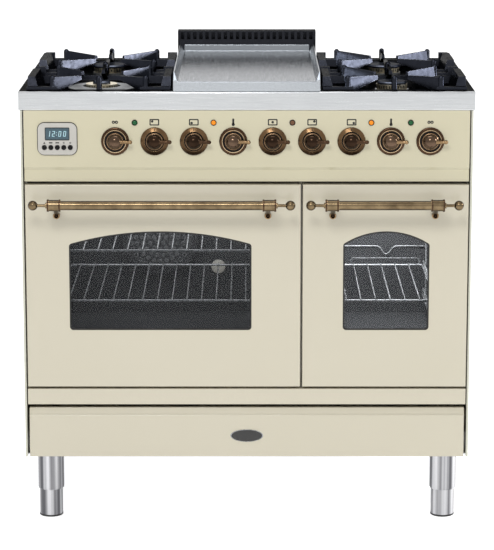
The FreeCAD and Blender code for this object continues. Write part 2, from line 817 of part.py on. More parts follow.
def knobs():
    """Domed knob with a side lever that ends in a small ball, on a stem through the panel."""
    for number, (label, gas) in enumerate(KNOBS):
        height = 8 if gas else 7
        stem = rod(label + "_stem", (0, 30, 0), "stem_radius", 34, "front")
        disc = rod(label + "_disc", (0, 0, 0), 17, height, "front")
        step = taper(label + "_step", (0, 0 - height, 0), 17, 15, 2, "front")
        dome = ball(label + "_dome", (0, 0 - height, 0), 15)
        hollow = box(label + "_dome_back", (-20, 0, -20), (20, 20, 20))
        cap = cut(label + "_cap", dome, [hollow])
        lever = taper(label + "_lever", (9, -15, 0), 3.4, 2.5, 21, "x")
        tip = ball(label + "_tip", (30.2, -15, 0), 3.1)
        whole = join(label + "_join", [stem, disc, step, cap, lever, tip])
        node(whole, label, knob_across(number), "panel_face", "knob_level")


def gas_taps():
    """Valve and switch bodies behind the panel, each bored for its knob's stem."""
    taps = []
    for number, (_, gas) in enumerate(KNOBS):
        across = knob_across(number)
        radius = 14 if gas else 19
        housing = rod("tap_housing", (across, 9, "knob_level"), radius, 43, "y")
        bore = rod("tap_bore", (across, 8, "knob_level"), "stem_radius + stem_clearance", 26, "y")
        taps.append(cut("tap_cut", housing, [bore]))
    node(group("tap_group", taps), "gas_taps_and_switches")


def gas_manifold():
    """Supply pipe that feeds the taps and leaves through the rear on the left."""
    start = ("inlet_across", 60, "knob_level")
    rail = rod("manifold_rail", start, "manifold_radius", 680, "x")
    run = rod("manifold_run", start, "manifold_radius", "back_depth - 53", "y")
    corner = ball("manifold_corner", start, "manifold_radius")
    inlet = rod("manifold_inlet", ("inlet_across", "back_depth + 3", "knob_level"), 10.5, 18, "y")
    node(join("manifold_join", [rail, run, corner, inlet]), "gas_manifold")


def indicator_lamps():
    lamps = []
    for number in LAMP_PLACES:
        across = knob_across(number)
        lens = rod("lens", (across, "panel_face", "lamp_level"), "lamp_radius", 1.5, "front")
        face = taper("lens_face", (across, "panel_face - 1.5", "lamp_level"), "lamp_radius",
                     "lamp_radius - 2", 1.2, "front")
        barrel = rod("barrel", (across, "panel_face - 1", "lamp_level"), "lamp_radius - 1.3", 16, "y")
        lamps.append(join("lamp_join", [lens, face, barrel]))
    node(group("lamp_group", lamps), "indicator_lamps")


def button_across(number):
    return f"timer_centre + {number - (BUTTON_COUNT - 1) / 2} * button_pitch"


def timer_housing():
    half_width = "timer_width / 2"
    half_height = "timer_height / 2"
    body = new_body("timer_body")
    face = new_sketch(body, "timer_face", "XZ_Plane", "4 - panel_face")
    rectangle(face, (f"timer_centre - {half_width}", f"timer_level - {half_height}"),
              (f"timer_centre + {half_width}", f"timer_level + {half_height}"))
    bezel = pad(body, "timer_pad", face, 4)
    bind(face, {".AttachmentOffset.Base.z": "0 - panel_face"})
    DOC.recompute()
    corners = edges_inside(bezel.Shape, (-420, -20, 740), (-330, 20, 820), "y")
    fillet(body, "timer_corners", bezel, corners, 13)
    DOC.recompute()
    left, right = f"timer_centre - {half_width} + 4.5", f"timer_centre + {half_width} - 4.5"
    low, high = f"timer_level - {half_height} + 4.5", f"timer_level + {half_height} - 4.5"
    block = box("timer_block", (left, "panel_face", low), (right, 34, high))
    window = box("timer_window", ("timer_centre - 23.5", "panel_face - 5", "timer_level - 2"),
                 ("timer_centre + 23.5", "panel_face - 2.6", "timer_level + 22"))
    holes = [
        rod("button_hole", (button_across(number), "panel_face - 5", "button_level"),
            "button_radius + 0.35", 13, "y")
        for number in range(BUTTON_COUNT)
    ]
    node(cut("timer_cut", join("timer_join", [body, block]), [window] + holes), "timer_housing")


def timer_buttons():
    for number in range(BUTTON_COUNT):
        name = f"timer_button_{number + 1}"
        shank = rod(name + "_shank", (0, 3.5, 0), "button_radius", 8.7, "front")
        crown = taper(name + "_crown", (0, -5.2, 0), "button_radius", "button_radius - 0.8", 0.8, "front")
        whole = join(name + "_join", [shank, crown])
        node(whole, name, button_across(number), "panel_face - 0.5", "button_level")


# ---------------------------------------------------------------- doors

def hinge_places(side):
    return (f"{side}_door_min + hinge_inset", f"{side}_door_max - hinge_inset")


def door_panel(side):
    """Enamelled outer panel: a tray with an arched window, blocks and bores for the hinge pins."""
    left, right = f"{side}_door_min", f"{side}_door_max"
    body = new_body(side + "_panel_body")
    face = new_sketch(body, side + "_panel_face", "XZ_Plane", "0 - panel_thickness")
    rectangle(face, (left, "door_foot"), (right, "door_top"))
    solid = pad(body, side + "_panel_pad", face, "panel_thickness")
    DOC.recompute()
    rim = edges_inside(solid.Shape, (-460, -1, 270), (460, 1, 700))
    fillet(body, side + "_panel_round", solid, rim, 2.5)
    window = new_sketch(body, side + "_panel_window", "XZ_Plane", 0)
    arched(window, f"{side}_window_min", f"{side}_window_max", "window_foot", "window_top",
           "window_rise")
    opening = pocket(body, side + "_panel_opening", window, "panel_thickness")
    DOC.recompute()
    low = (DIMS[f"{side}_window_min"] - 1, -1, DIMS["window_foot"] - 1)
    high = (DIMS[f"{side}_window_max"] + 1, DIMS["panel_thickness"] + 1, DIMS["window_top"] + 1)
    corners = edges_inside(opening.Shape, low, high, "y")
    fillet(body, side + "_window_corners", opening, corners, 7)
    hollow = new_sketch(body, side + "_panel_hollow", "XZ_Plane", "0 - panel_thickness")
    rectangle(hollow, (f"{left} + skin_gauge", "door_foot + skin_gauge"),
              (f"{right} - skin_gauge", "door_top - skin_gauge"))
    pocket(body, side + "_panel_tray", hollow, "panel_thickness - skin_gauge", True)
    blocks = []
    cuts = []
    for place_across in hinge_places(side):
        blocks.append(box(side + "_hinge_block",
                          (f"{place_across} - 16", "skin_gauge - 1", "door_foot + 1"),
                          (f"{place_across} + 16", "panel_thickness", "hinge_level + 9")))
        cuts.append(box(side + "_arm_slot", (f"{place_across} - 3.6", "hinge_depth - 4", "door_foot - 1"),
                        (f"{place_across} + 3.6", "panel_thickness + 1", "hinge_level + 5")))
        cuts.append(rod(side + "_pin_bore", (f"{place_across} - 12", "hinge_depth", "hinge_level"),
                        "pin_radius + pin_clearance", 24, "x"))
    whole = cut(side + "_panel_cut", join(side + "_panel_join", [body] + blocks), cuts)
    node(whole, side + "_door_panel")


def door_liner(side):
    """Inner panel: a tray that faces the outer one, with its own window and hinge slots."""
    left, right = f"{side}_door_min + 2", f"{side}_door_max - 2"
    body = new_body(side + "_liner_body")
    face = new_sketch(body, side + "_liner_face", "XZ_Plane", "0 - door_thickness")
    rectangle(face, (left, "door_foot + 1"), (right, "door_top - 2"))
    pad(body, side + "_liner_pad", face, "door_thickness - panel_thickness")
    hollow = new_sketch(body, side + "_liner_hollow", "XZ_Plane", "0 - panel_thickness")
    rectangle(hollow, (f"{left} + skin_gauge", "door_foot + 1 + skin_gauge"),
              (f"{right} - skin_gauge", "door_top - 2 - skin_gauge"))
    pocket(body, side + "_liner_tray", hollow, "door_thickness - panel_thickness - skin_gauge")
    window = new_sketch(body, side + "_liner_window", "XZ_Plane", "0 - panel_thickness")
    rectangle(window, (f"{side}_window_min - 6", "window_foot - 10"),
              (f"{side}_window_max + 6", "window_top + 12"))
    pocket(body, side + "_liner_opening", window, "door_thickness")
    slots = [
        box(side + "_liner_slot", (f"{across} - 4.5", "panel_thickness - 1", "door_foot - 1"),
            (f"{across} + 4.5", "door_thickness + 1", "hinge_level + 6"))
        for across in hinge_places(side)
    ]
    node(cut(side + "_liner_cut", body, slots), side + "_door_liner")


def door_glass(side):
    """Two panes: one behind the outer panel's window, one against the inner panel."""
    panes = []
    for name, margin, front in (("outer", 12, "skin_gauge"),
                                ("inner", 20, "door_thickness - skin_gauge - 4")):
        low = (f"{side}_window_min - {margin}", front, f"window_foot - {margin}")
        high = (f"{side}_window_max + {margin}", f"{front} + 4", f"window_top + {margin}")
        panes.append(box(f"{side}_{name}_pane", low, high))
    node(group(side + "_panes", panes), side + "_door_glass")


def door_handle(side):
    """Bar between two turned cups, each on a slanted post, with a ball on a thin neck outside."""
    middle = "0 - handle_stand"
    slope = math.degrees(math.atan2(DIMS["handle_stand"], DIMS["post_foot_drop"]))
    length = "sqrt(handle_stand * handle_stand + post_foot_drop * post_foot_drop)"
    pieces = [rod(side + "_bar", (f"{side}_bar_min - 2", middle, 0), "bar_radius",
                  f"{side}_bar_max - {side}_bar_min + 4", "x")]
    for end, sign, inner in (("a", -1, f"{side}_bar_min"), ("b", 1, f"{side}_bar_max")):
        outer = f"{inner} + {sign} * cup_length"
        start = outer if sign < 0 else inner
        near = f"{inner} - ball_offset - cup_length" if sign < 0 else outer
        label = f"{side}_{end}"
        outer_ring = f"{outer} - ({sign} + 1) * 2"
        inner_ring = f"{inner} + ({sign} - 1) * 1.2"
        foot = f"{inner} + {sign} * 11"
        pieces += [
            rod(label + "_cup", (start, middle, 0), "cup_radius - 0.8", "cup_length", "x"),
            rod(label + "_outer_ring", (outer_ring, middle, 0), "cup_radius", 4, "x"),
            rod(label + "_inner_ring", (inner_ring, middle, 0), "cup_radius - 0.2", 2.4, "x"),
            rod(label + "_neck", (near, middle, 0), 3, "ball_offset", "x"),
            rod(label + "_collar", (f"{outer} + ({sign} - 1) * 1.5", middle, 0), 5.5, 3, "x"),
            ball(label + "_ball", (f"{outer} + {sign} * ball_offset", middle, 0), "ball_radius"),
            rod(label + "_post_foot", (foot, 0, "0 - post_foot_drop"), 6.5, 3.5, "front"),
        ]
        shank = rod(label + "_post", (foot, -3.2, "0 - post_foot_drop"), 5, f"{length} - 3", "z")
        shank.Placement.Rotation = FreeCAD.Rotation(FreeCAD.Vector(1, 0, 0), slope)
        pieces.append(shank)
    node(join(side + "_handle_join", pieces), side + "_door_handle", "0", "0", "handle_level")


def door_hinges():
    """Foot plate on the front frame, arm into the door and the pin the door turns on."""
    hinges = []
    for side in ("left", "right"):
        for across in hinge_places(side):
            level = "hinge_level"
            foot = box("hinge_foot", (f"{across} - 13", "frame_depth - 3", f"{level} - 9"),
                       (f"{across} + 13", "frame_depth", f"{level} + 13"))
            arm = box("hinge_arm", (f"{across} - 3", "hinge_depth", f"{level} - 3"),
                      (f"{across} + 3", "frame_depth - 1", f"{level} + 3"))
            eye = rod("hinge_eye", (f"{across} - 3", "hinge_depth", level), 3.4, 6, "x")
            pin = rod("hinge_pin", (f"{across} - 11.5", "hinge_depth", level), "pin_radius", 23, "x")
            hinges.append(join("hinge_join", [foot, arm, eye, pin]))
    node(group("hinge_group", hinges), "door_hinges")


# ---------------------------------------------------------------- ovens

def oven_liners():
    liners = []
    for side in ("left", "right"):
        low, high = f"{side}_oven_min", f"{side}_oven_max"
        shell = box(side + "_oven_shell", (f"{low} - 2", "frame_depth - 1", "oven_floor - 2"),
                    (f"{high} + 2", "oven_back + 2", "oven_roof + 2"))
        rim = box(side + "_oven_rim", (f"{low} - flange", "frame_depth - 2", "oven_floor - flange"),
                  (f"{high} + flange", "frame_depth", "oven_roof + flange"))
        hollow = box(side + "_oven_hollow", (low, "frame_depth - 3", "oven_floor"),
                     (high, "oven_back", "oven_roof"))
        cuts = [hollow]
        if side == "left":
            cuts.append(rod("fan_shaft_hole", ("fan_across", "oven_back - 1", "fan_level"), 6, 5, "y"))
        liners.append(cut(side + "_oven_cut", join(side + "_oven_join", [shell, rim]), cuts))
    node(group("oven_pair", liners), "oven_liners")


def rack_width(side):
    return f"{side}_oven_min + rack_margin", f"{side}_oven_max - rack_margin"


def oven_rack(side, label, level, wires):
    """Wire shelf: a round frame with straight wires laid on it along the depth."""
    left, right = rack_width(side)
    radius = "rack_frame_radius"
    span = f"({right}) - ({left})"
    run = "rack_back - rack_front"
    pieces = []
    for end, depth in (("front", "rack_front"), ("back", "rack_back")):
        pieces.append(rod(f"{label}_{end}", (left, depth, 0), radius, span, "x"))
    for edge, across in (("left", left), ("right", right)):
        pieces.append(rod(f"{label}_{edge}", (across, "rack_front", 0), radius, run, "y"))
        pieces.append(ball(f"{label}_{edge}_front_corner", (across, "rack_front", 0), radius))
        pieces.append(ball(f"{label}_{edge}_back_corner", (across, "rack_back", 0), radius))
    for wire in range(wires):
        across = f"(({left}) + ({right})) / 2 + {wire - (wires - 1) / 2} * rack_pitch"
        pieces.append(rod(f"{label}_wire", (across, "rack_front - 3.5", "rack_frame_radius + 0.5"),
                          "rack_wire_radius", f"{run} + 7", "y"))
    node(join(label + "_join", pieces), label, "0", "0", level)


def rack_guides():
    """Wire ladders on both walls of each oven; every rack lies on one of the long wires."""
    ladders = []
    radius = "guide_radius"
    for side in ("left", "right"):
        for edge, wall, inward in (("l", f"{side}_oven_min", 1), ("r", f"{side}_oven_max", -1)):
            bars = []
            rail_across = f"{wall} + {inward} * 7"
            post_across = f"{wall} + {inward} * 2.6"
            for depth in (90, 260, 430):
                foot = (post_across, depth, "spare_rack_level - 20")
                bars.append(rod(f"{side}_{edge}_upright", foot, radius, 230, "z"))
            for level in ("upper_rack_level", "lower_rack_level", "spare_rack_level"):
                under = f"{level} - rack_frame_radius - {radius} - 0.3"
                bars.append(rod(f"{side}_{edge}_rail", (rail_across, 66, under), radius, 390, "y"))
                over = f"{level} + rack_frame_radius + {radius} + 2.5"
                bars.append(rod(f"{side}_{edge}_guard", (rail_across, 66, over), radius, 390, "y"))
            ladders.append(join(f"{side}_{edge}_ladder", bars))
    node(group("guide_group", ladders), "rack_guides")


def fan_hole_places(ring_pitch):
    """Centres of the cover's perforations: a middle hole and rings of six more each."""
    yield 0, 0
    for ring in range(1, 6):
        for step in range(6 * ring):
            turn = 2 * math.pi * step / (6 * ring)
            yield ring * ring_pitch * math.cos(turn), ring * ring_pitch * math.sin(turn)


def fan_cover():
    """Perforated lid over the fan, open at the back."""
    rim = rod("cover_rim", ("fan_across", "oven_back - 22", "fan_level"), "fan_cover_radius", 22, "y")
    inside = ("fan_across", "oven_back - 20", "fan_level")
    holes = [rod("cover_hollow", inside, "fan_cover_radius - 2", 21, "y")]
    for across, up in fan_hole_places(13):
        centre = (f"fan_across + {across:.3f}", "oven_back - 25", f"fan_level + {up:.3f}")
        holes.append(rod("cover_hole", centre, 3.4, 6, "y"))
    node(cut("cover_cut", rim, holes), "fan_cover")


def oven_fan():
    """Radial fan behind the perforated cover, bored for the motor's shaft."""
    hub = rod("fan_hub", (0, -16, 0), 14, 12, "y")
    plate = rod("fan_plate", (0, -6, 0), 60, 2, "y")
    pieces = [hub, plate]
    for number in range(FAN_BLADES):
        blade = box("fan_blade", (0, 0, 0), (52, 9, 2))
        turn = FreeCAD.Rotation(FreeCAD.Vector(0, 1, 0), 360 * number / FAN_BLADES)
        corner = turn.multVec(FreeCAD.Vector(12, -14, -1))
        blade.Placement = FreeCAD.Placement(corner, turn)
        place(blade, (f"{corner.x:.4f}", f"{corner.y:.4f}", f"{corner.z:.4f}"))
        pieces.append(blade)
    bore = rod("fan_bore", (0, -20, 0), "4 + stem_clearance", 20, "y")
    whole = cut("fan_cut", join("fan_join", pieces), [bore])
    node(whole, "oven_fan", "fan_across", "oven_back", "fan_level")


def fan_motor():
    """Motor behind the oven's back wall; its shaft runs through the wall into the fan."""
    case = rod("motor_case", ("fan_across", "oven_back + 2", "fan_level"), 38, 46, "y")
    shaft = rod("motor_shaft", ("fan_across", "oven_back - 15", "fan_level"), 4, 20, "y")
    node(join("motor_join", [case, shaft]), "fan_motor")


def heating_elements():
    """Grill element under each roof: one tube bent back and forth, ends in the back wall."""
    elements = []
    level = "oven_roof - 22"
    radius = "element_radius"
    for side, runs in (("left", 6), ("right", 4)):
        left, right = f"({side}_oven_min + 35)", f"({side}_oven_max - 35)"
        pitch = f"(({right} - {left}) / {runs - 1})"
        pieces = []
        for number in range(runs):
            across = f"{left} + {number} * {pitch}"
            near = (across, "element_front", level)
            pieces.append(ball(side + "_near_bend", near, radius))
            if number in (0, runs - 1):
                pieces.append(rod(side + "_run", near, radius, "oven_back - element_front", "y"))
                continue
            pieces.append(rod(side + "_run", near, radius, "element_back - element_front", "y"))
            pieces.append(ball(side + "_far_bend", (across, "element_back", level), radius))
        for number in range(runs - 1):
            depth = "element_front" if number % 2 == 0 else "element_back"
            pieces.append(rod(side + "_turn", (f"{left} + {number} * {pitch}", depth, level), radius,
                              pitch, "x"))
        elements.append(join(side + "_element", pieces))
    node(group("element_group", elements), "heating_elements")


# ---------------------------------------------------------------- drawer

def drawer_front():
    """Folded front with a slanted finger grip along the top and closed ends."""
    face = "panel_face"
    top = "drawer_top"
    back = "drawer_front_back"
    body = bar_of_profile("drawer_front_bar", [
        (face, "body_foot"), (face, f"{top} - 15"), (f"{face} + 3", f"{top} - 12"),
        (f"{face} + 7", top), (back, top), (back, f"{top} - 2"),
        (f"{face} + 9", f"{top} - 2"), (f"{face} + 5", f"{top} - 13"),
        (f"{face} + 2", f"{top} - 16"), (f"{face} + 2", "body_foot + 2"),
        (back, "body_foot + 2"), (back, "body_foot"),
    ], "0 - drawer_half", "2 * drawer_half")
    ends = []
    for edge, inward in (("(0 - drawer_half)", 1), ("drawer_half", -1)):
        low, high = from_edge(edge, inward, "sheet_gauge")
        ends.append(box("drawer_end", (low, f"{face} + 7", "body_foot + 0.5"),
                        (high, back, f"{top} - 0.5")))
        ends.append(box("drawer_cheek", (low, f"{face} + 1", "body_foot + 0.5"),
                        (high, 12, f"{top} - 16")))
    node(join("drawer_front_join", [body] + ends), "drawer_front")


def drawer_box():
    """Open tray that hangs by its side flanges on the runners."""
    half = "drawer_box_half"
    front = "drawer_front_back"
    back = "drawer_box_back"
    outer = box("drawer_outer", (f"0 - {half} - 2", front, "drawer_floor"),
                (f"{half} + 2", back, "drawer_wall_top"))
    flange = box("drawer_flange", (f"0 - {half} - 19", "frame_depth + 10", "runner_top"),
                 (f"{half} + 19", back, "runner_top + 2"))
    hollow = box("drawer_hollow", (f"0 - {half}", f"{front} + 2", "drawer_floor + 2"),
                 (half, f"{back} - 2", "drawer_wall_top + 1"))
    node(cut("drawer_box_cut", join("drawer_box_join", [outer, flange]), [hollow]), "drawer_box")


# ---------------------------------------------------------------- whole

def build():
    fill_sheet()
    side_panels()
    back_panel()
    base_frame()
    front_frame()
    front_rail()
    leg_sleeves()
    levelling_feet()
    hob_top()
    burner_bodies()
    flame_rings()
    burner_caps()
    grates()
    griddle()
    vent_grille()
    control_panel()
    knob_bezels()
    knobs()
    gas_taps()
    gas_manifold()
    indicator_lamps()
    timer_housing()
    timer_buttons()
    for side in ("left", "right"):
        door_panel(side)
        door_liner(side)
        door_glass(side)
        door_handle(side)
    door_hinges()
    oven_liners()
    oven_rack("left", "left_upper_rack", "upper_rack_level", 14)
    oven_rack("left", "left_lower_rack", "lower_rack_level", 14)
    oven_rack("right", "right_rack", "lower_rack_level", 6)
    rack_guides()
    fan_cover()
    oven_fan()
    fan_motor()
    heating_elements()
    drawer_front()
    drawer_box()
    DOC.recompute()


def check():
    """Stops at the first object that failed or sub-part that isn't sound."""
    for item in DOC.Objects:
        if "Invalid" in item.State or "Error" in item.State:
            raise RuntimeError(f"{item.Label} failed: {item.State}")
    for item in NODES:
        if item.Shape.isNull() or not item.Shape.isValid():
            raise RuntimeError(f"{item.Label} is not a valid shape")
        print(f"{item.Label}: {len(item.Shape.Solids)} solids, {item.Shape.Volume / 1000:.1f} cm3")


def write():
    os.makedirs("parts", exist_ok=True)
    for item in NODES:
        item.Shape.exportStep(f"parts/{item.Label}.step")


build()
check()
write()
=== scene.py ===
import json
import math

import bmesh
import bpy
from mathutils import Matrix, Vector

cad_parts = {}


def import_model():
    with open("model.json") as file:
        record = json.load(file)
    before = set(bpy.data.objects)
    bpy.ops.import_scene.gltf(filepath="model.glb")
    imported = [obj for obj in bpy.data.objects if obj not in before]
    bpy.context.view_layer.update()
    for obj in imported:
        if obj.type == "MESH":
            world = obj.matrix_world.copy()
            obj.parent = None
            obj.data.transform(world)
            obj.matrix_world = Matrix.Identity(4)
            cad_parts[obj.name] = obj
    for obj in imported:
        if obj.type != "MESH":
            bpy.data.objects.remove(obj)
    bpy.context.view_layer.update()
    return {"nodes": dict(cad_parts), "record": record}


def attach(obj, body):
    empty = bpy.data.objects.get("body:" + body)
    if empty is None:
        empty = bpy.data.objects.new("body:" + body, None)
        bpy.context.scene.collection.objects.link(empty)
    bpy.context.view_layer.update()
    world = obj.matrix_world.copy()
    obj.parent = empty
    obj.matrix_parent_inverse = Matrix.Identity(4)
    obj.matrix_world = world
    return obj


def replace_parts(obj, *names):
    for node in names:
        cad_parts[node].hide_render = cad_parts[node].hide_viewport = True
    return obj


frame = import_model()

FRONT_SHIFT = 271.5  # mm from the front plane of the hob rail to the middle of the depth

# All sizes are in mm: x across from the middle, depth from the front plane, level from the floor.
KNOB_LEVEL = 777
KNOB_FIRST = -260
KNOB_PITCH = 77.8
GAS_KNOBS = (1, 2, 4, 5, 6)
KNOB_BODIES = (
    "left_oven_function_knob", "rear_left_gas_knob", "front_left_gas_knob",
    "left_oven_thermostat_knob", "griddle_gas_knob", "rear_right_gas_knob",
    "front_right_gas_knob", "right_oven_thermostat_knob", "right_oven_function_knob",
)
HOB_LEVEL = 875
# Burners: place across, depth, radius of the port ring.
BURNERS = {
    "rear_left": (-293, 434, 32.5), "front_left": (-293, 140, 32),
    "rear_right": (293, 434, 32.5), "front_right": (293, 140, 31),
}
LAMP_LEVEL = 814
SIGN_LEVEL = 814.7
PANEL_FACE = 2
TIMER_ACROSS = -374
TIMER_LEVEL = 782
HANDLE_LEVEL = 656
HANDLE_DEPTH = -45
POST_LEVEL = 630
BADGE_LEVEL = 177
BADGE_HALVES = (32.5, 12.5)
FAN_ACROSS = -188
FAN_LEVEL = 500
FAN_COVER_FACE = 458
SIDE_FACE = 447
BACK_FACE = 576.9
FEET_ACROSS = (-400, 400)
FEET_DEPTHS = (45, 555)


def at(x, depth, z):
    """A point in metres from millimetres across, behind the front plane and above the floor."""
    return Vector((x, depth - FRONT_SHIFT, z)) / 1000


def rgb(red, green, blue):
    """Linear colour from 8-bit values."""
    def linear(value):
        value /= 255
        return value / 12.92 if value <= 0.04045 else ((value + 0.055) / 1.055) ** 2.4
    return (linear(red), linear(green), linear(blue), 1)


# ---------------------------------------------------------------- materials

class Paint:
    """A Principled material with procedural variation of colour, gloss and surface."""

    def __init__(self, name, colour, metallic=0.0, rough=0.4):
        self.material = bpy.data.materials.new(name)
        self.material.use_nodes = True
        self.tree = self.material.node_tree
        self.shader = self.tree.nodes["Principled BSDF"]
        self.colour = colour
        self.shader.inputs["Base Color"].default_value = colour
        self.shader.inputs["Metallic"].default_value = metallic
        self.shader.inputs["Roughness"].default_value = rough
        coordinates = self.tree.nodes.new("ShaderNodeTexCoord")
        self.places = coordinates.outputs["Object"]
        self.facing = coordinates.outputs["Normal"]
        self.height = None

    def set(self, **values):
        """Sets inputs of the shader; an underscore stands for a space."""
        for name, value in values.items():
            self.shader.inputs[name.replace("_", " ")].default_value = value

    def node(self, kind, **values):
        made = self.tree.nodes.new(kind)
        for name, value in values.items():
            made.inputs[name.replace("_", " ")].default_value = value
        return made

    def link(self, source, target):
        self.tree.links.new(source, target)

    def noise(self, scale, stretch=(1, 1, 1), detail=3):
        mapping = self.node("ShaderNodeMapping", Scale=stretch)
        self.link(self.places, mapping.inputs["Vector"])
        noise = self.node("ShaderNodeTexNoise", Scale=scale, Detail=detail)
        self.link(mapping.outputs["Vector"], noise.inputs["Vector"])
        return noise.outputs["Fac"]

    def vector(self, operation, first, second=None):
        """Outputs of a vector calculation; the second operand is a socket or a fixed value."""
        made = self.tree.nodes.new("ShaderNodeVectorMath")
        made.operation = operation
        self.link(first, made.inputs[0])
        if isinstance(second, tuple):
            made.inputs[1].default_value = second
        elif second is not None:
            self.link(second, made.inputs[1])
        return made.outputs

    def cells(self, scale):
        cells = self.node("ShaderNodeTexVoronoi", Scale=scale)
        self.link(self.places, cells.inputs["Vector"])
        return cells

    def spread(self, source, low, high, start=0.3, end=0.7):
        ranged = self.node("ShaderNodeMapRange")
        for name, value in (("From Min", start), ("From Max", end), ("To Min", low), ("To Max", high)):
            ranged.inputs[name].default_value = value
        self.link(source, ranged.inputs["Value"])
        return ranged.outputs["Result"]

    def blend(self, factor, other):
        """Mixes another colour over what the base colour is so far."""
        mix = self.tree.nodes.new("ShaderNodeMix")
        mix.data_type = "RGBA"
        self.link(factor, mix.inputs["Factor"])
        base = self.shader.inputs["Base Color"]
        if base.is_linked:
            self.link(base.links[0].from_socket, mix.inputs["A"])
        else:
            mix.inputs["A"].default_value = self.colour
        mix.inputs["B"].default_value = other
        self.link(mix.outputs["Result"], base)

    def tint(self, source, other, amount=1.0, start=0.35, end=0.65):
        """Blends towards another colour where the source is high."""
        self.blend(self.spread(source, 0, amount, start, end), other)

    def towards(self, direction):
        """How far the surface faces a direction, from -1 to 1."""
        return self.vector("DOT_PRODUCT", self.facing, direction)["Value"]

    def gloss(self, source, low, high):
        self.link(self.spread(source, low, high), self.shader.inputs["Roughness"])

    def bump(self, source, distance, strength=1.0):
        bump = self.node("ShaderNodeBump", Strength=strength, Distance=distance)
        self.link(source, bump.inputs["Height"])
        if self.height is not None:
            self.link(self.height, bump.inputs["Normal"])
        self.height = bump.outputs["Normal"]
        self.link(self.height, self.shader.inputs["Normal"])

    def lean(self, share):
        """Tilts the faces upwards, as the draft of a cast piece does."""
        tilted = self.vector("ADD", self.height, (0, 0, share))["Vector"]
        self.link(self.vector("NORMALIZE", tilted)["Vector"], self.shader.inputs["Normal"])

    def edges(self, other, width, amount=0.6):
        """Blends towards another colour along convex edges: a painted highlight, and on some metals
        rubbed wear as well.
        """
        bevel = self.tree.nodes.new("ShaderNodeBevel")
        bevel.samples = 4
        bevel.inputs["Radius"].default_value = width
        geometry = self.tree.nodes.new("ShaderNodeNewGeometry")
        flat = self.vector("DOT_PRODUCT", bevel.outputs["Normal"], geometry.outputs["Normal"])["Value"]
        self.blend(self.spread(flat, amount, 0, 0.8, 0.995), other)


def enamel(name, colour, shade, rough=0.22, peel=0.5, coat=0.35, shine=0.5):
    """Vitreous enamel: faint orange peel, slight mottling and a glassy coat."""
    paint = Paint(name, colour, 0, rough)
    paint.set(Coat_Weight=coat, Coat_Roughness=0.1, Specular_IOR_Level=shine)
    paint.tint(paint.noise(2.5, detail=2), shade, 0.5)
    paint.gloss(paint.noise(60), rough - 0.04, rough + 0.05)
    paint.bump(paint.noise(260, detail=1), 0.00002, peel)
    return paint.material


def brushed(name, colour, shade, stretch, rough):
    """Metal with fine drawn lines along one axis."""
    paint = Paint(name, colour, 1, rough)
    lines = paint.noise(900, stretch, 3)
    paint.tint(lines, shade, 0.6)
    paint.gloss(lines, rough - 0.05, rough + 0.08)
    paint.bump(lines, 0.00001, 0.15)
    paint.tint(paint.noise(6), shade, 0.3)
    return paint.material


def ground_plate(name, colour, grain_and_shade):
    """Polished steel with ground lines; its upward cooking face is darker, as painted shade."""
    paint = Paint(name, colour, 1, 0.17)
    # Painted shade: darker on faces turned up.
    paint.tint(paint.towards((0, 0, 1)), grain_and_shade, 0.95, 0.2, 0.8)
    lines = paint.noise(900, (1, 0.03, 1), 3)
    paint.tint(lines, grain_and_shade, 0.35)
    paint.gloss(lines, 0.13, 0.25)
    paint.bump(lines, 0.00001, 0.15)
    paint.tint(paint.noise(3), grain_and_shade, 0.15)
    return paint.material


def reflection_streaked(name, colour, shade, rough):
    """Polished tube with broad soft dark streaks along its height, which are a painted reflection."""
    paint = Paint(name, colour, 1, rough)
    # Painted reflection: broad dark streaks along the height.
    paint.tint(paint.noise(75, (1, 1, 0.004), 1), shade, 0.9, 0.42, 0.62)
    paint.gloss(paint.noise(90), rough - 0.04, rough + 0.06)
    paint.bump(paint.noise(900, (1, 1, 0.02), 2), 0.00001, 0.1)
    return paint.material


def satin_black(name, colour, shade, rough, grazing, grain, draft=0.0):
    """Black enamel that stays dark when seen along its surface, with drafted sides and a painted
    highlight along the edges on castings.
    """
    paint = Paint(name, colour, 1, rough)
    paint.set(Specular_Tint=(grazing, grazing, grazing, 1))
    paint.tint(paint.noise(60), shade, 0.6)
    paint.gloss(paint.noise(110), rough - 0.05, rough + 0.07)
    paint.bump(paint.noise(600, detail=2), 0.00002, grain)
    if draft:
        paint.lean(draft)
        # Painted highlight: bluish light along the convex edges of castings.
        paint.edges(rgb(130, 134, 148), 0.0006, 0.5)
    return paint.material


def cast(name, colour, shade, rough, coat=0.5, metallic=0.0):
    """Slightly coarse surface of cast or sheathing metal, bare or under a thin coat."""
    paint = Paint(name, colour, metallic, rough)
    paint.set(Coat_Weight=coat, Coat_Roughness=0.14, Specular_IOR_Level=0.3)
    paint.tint(paint.noise(70), shade, 0.6)
    paint.gloss(paint.noise(110), rough - 0.06, rough + 0.1)
    paint.bump(paint.noise(700, detail=3), 0.00004, 0.5)
    return paint.material


def old_metal(name, colour, dark, bright, rough, turned_away_shade=0.0, underside_shade=0.0):
    """Bronze or brass with darker tarnish in patches, painted shade on faces turned away from the front
    and on faces turned down, and lighter edges that are partly rubbed wear and partly a painted
    highlight.
    """
    paint = Paint(name, colour, 1, rough)
    paint.tint(paint.noise(40, detail=5), dark, 0.7, 0.4, 0.75)
    # Painted shade: darker where the surface turns away from the front.
    paint.tint(paint.towards((0, 1, 0)), dark, turned_away_shade, -0.97, -0.4)
    if underside_shade:
        # Painted shade: darker brown on faces turned down.
        paint.tint(paint.towards((0, 0, -1)), rgb(40, 29, 20), underside_shade, -0.15, 0.42)
    # Lighter convex edges: partly rubbed wear, partly a painted highlight.
    paint.edges(bright, 0.0008)
    paint.gloss(paint.noise(160), rough - 0.06, rough + 0.08)
    paint.bump(paint.noise(500, detail=2), 0.00002, 0.25)
    return paint.material


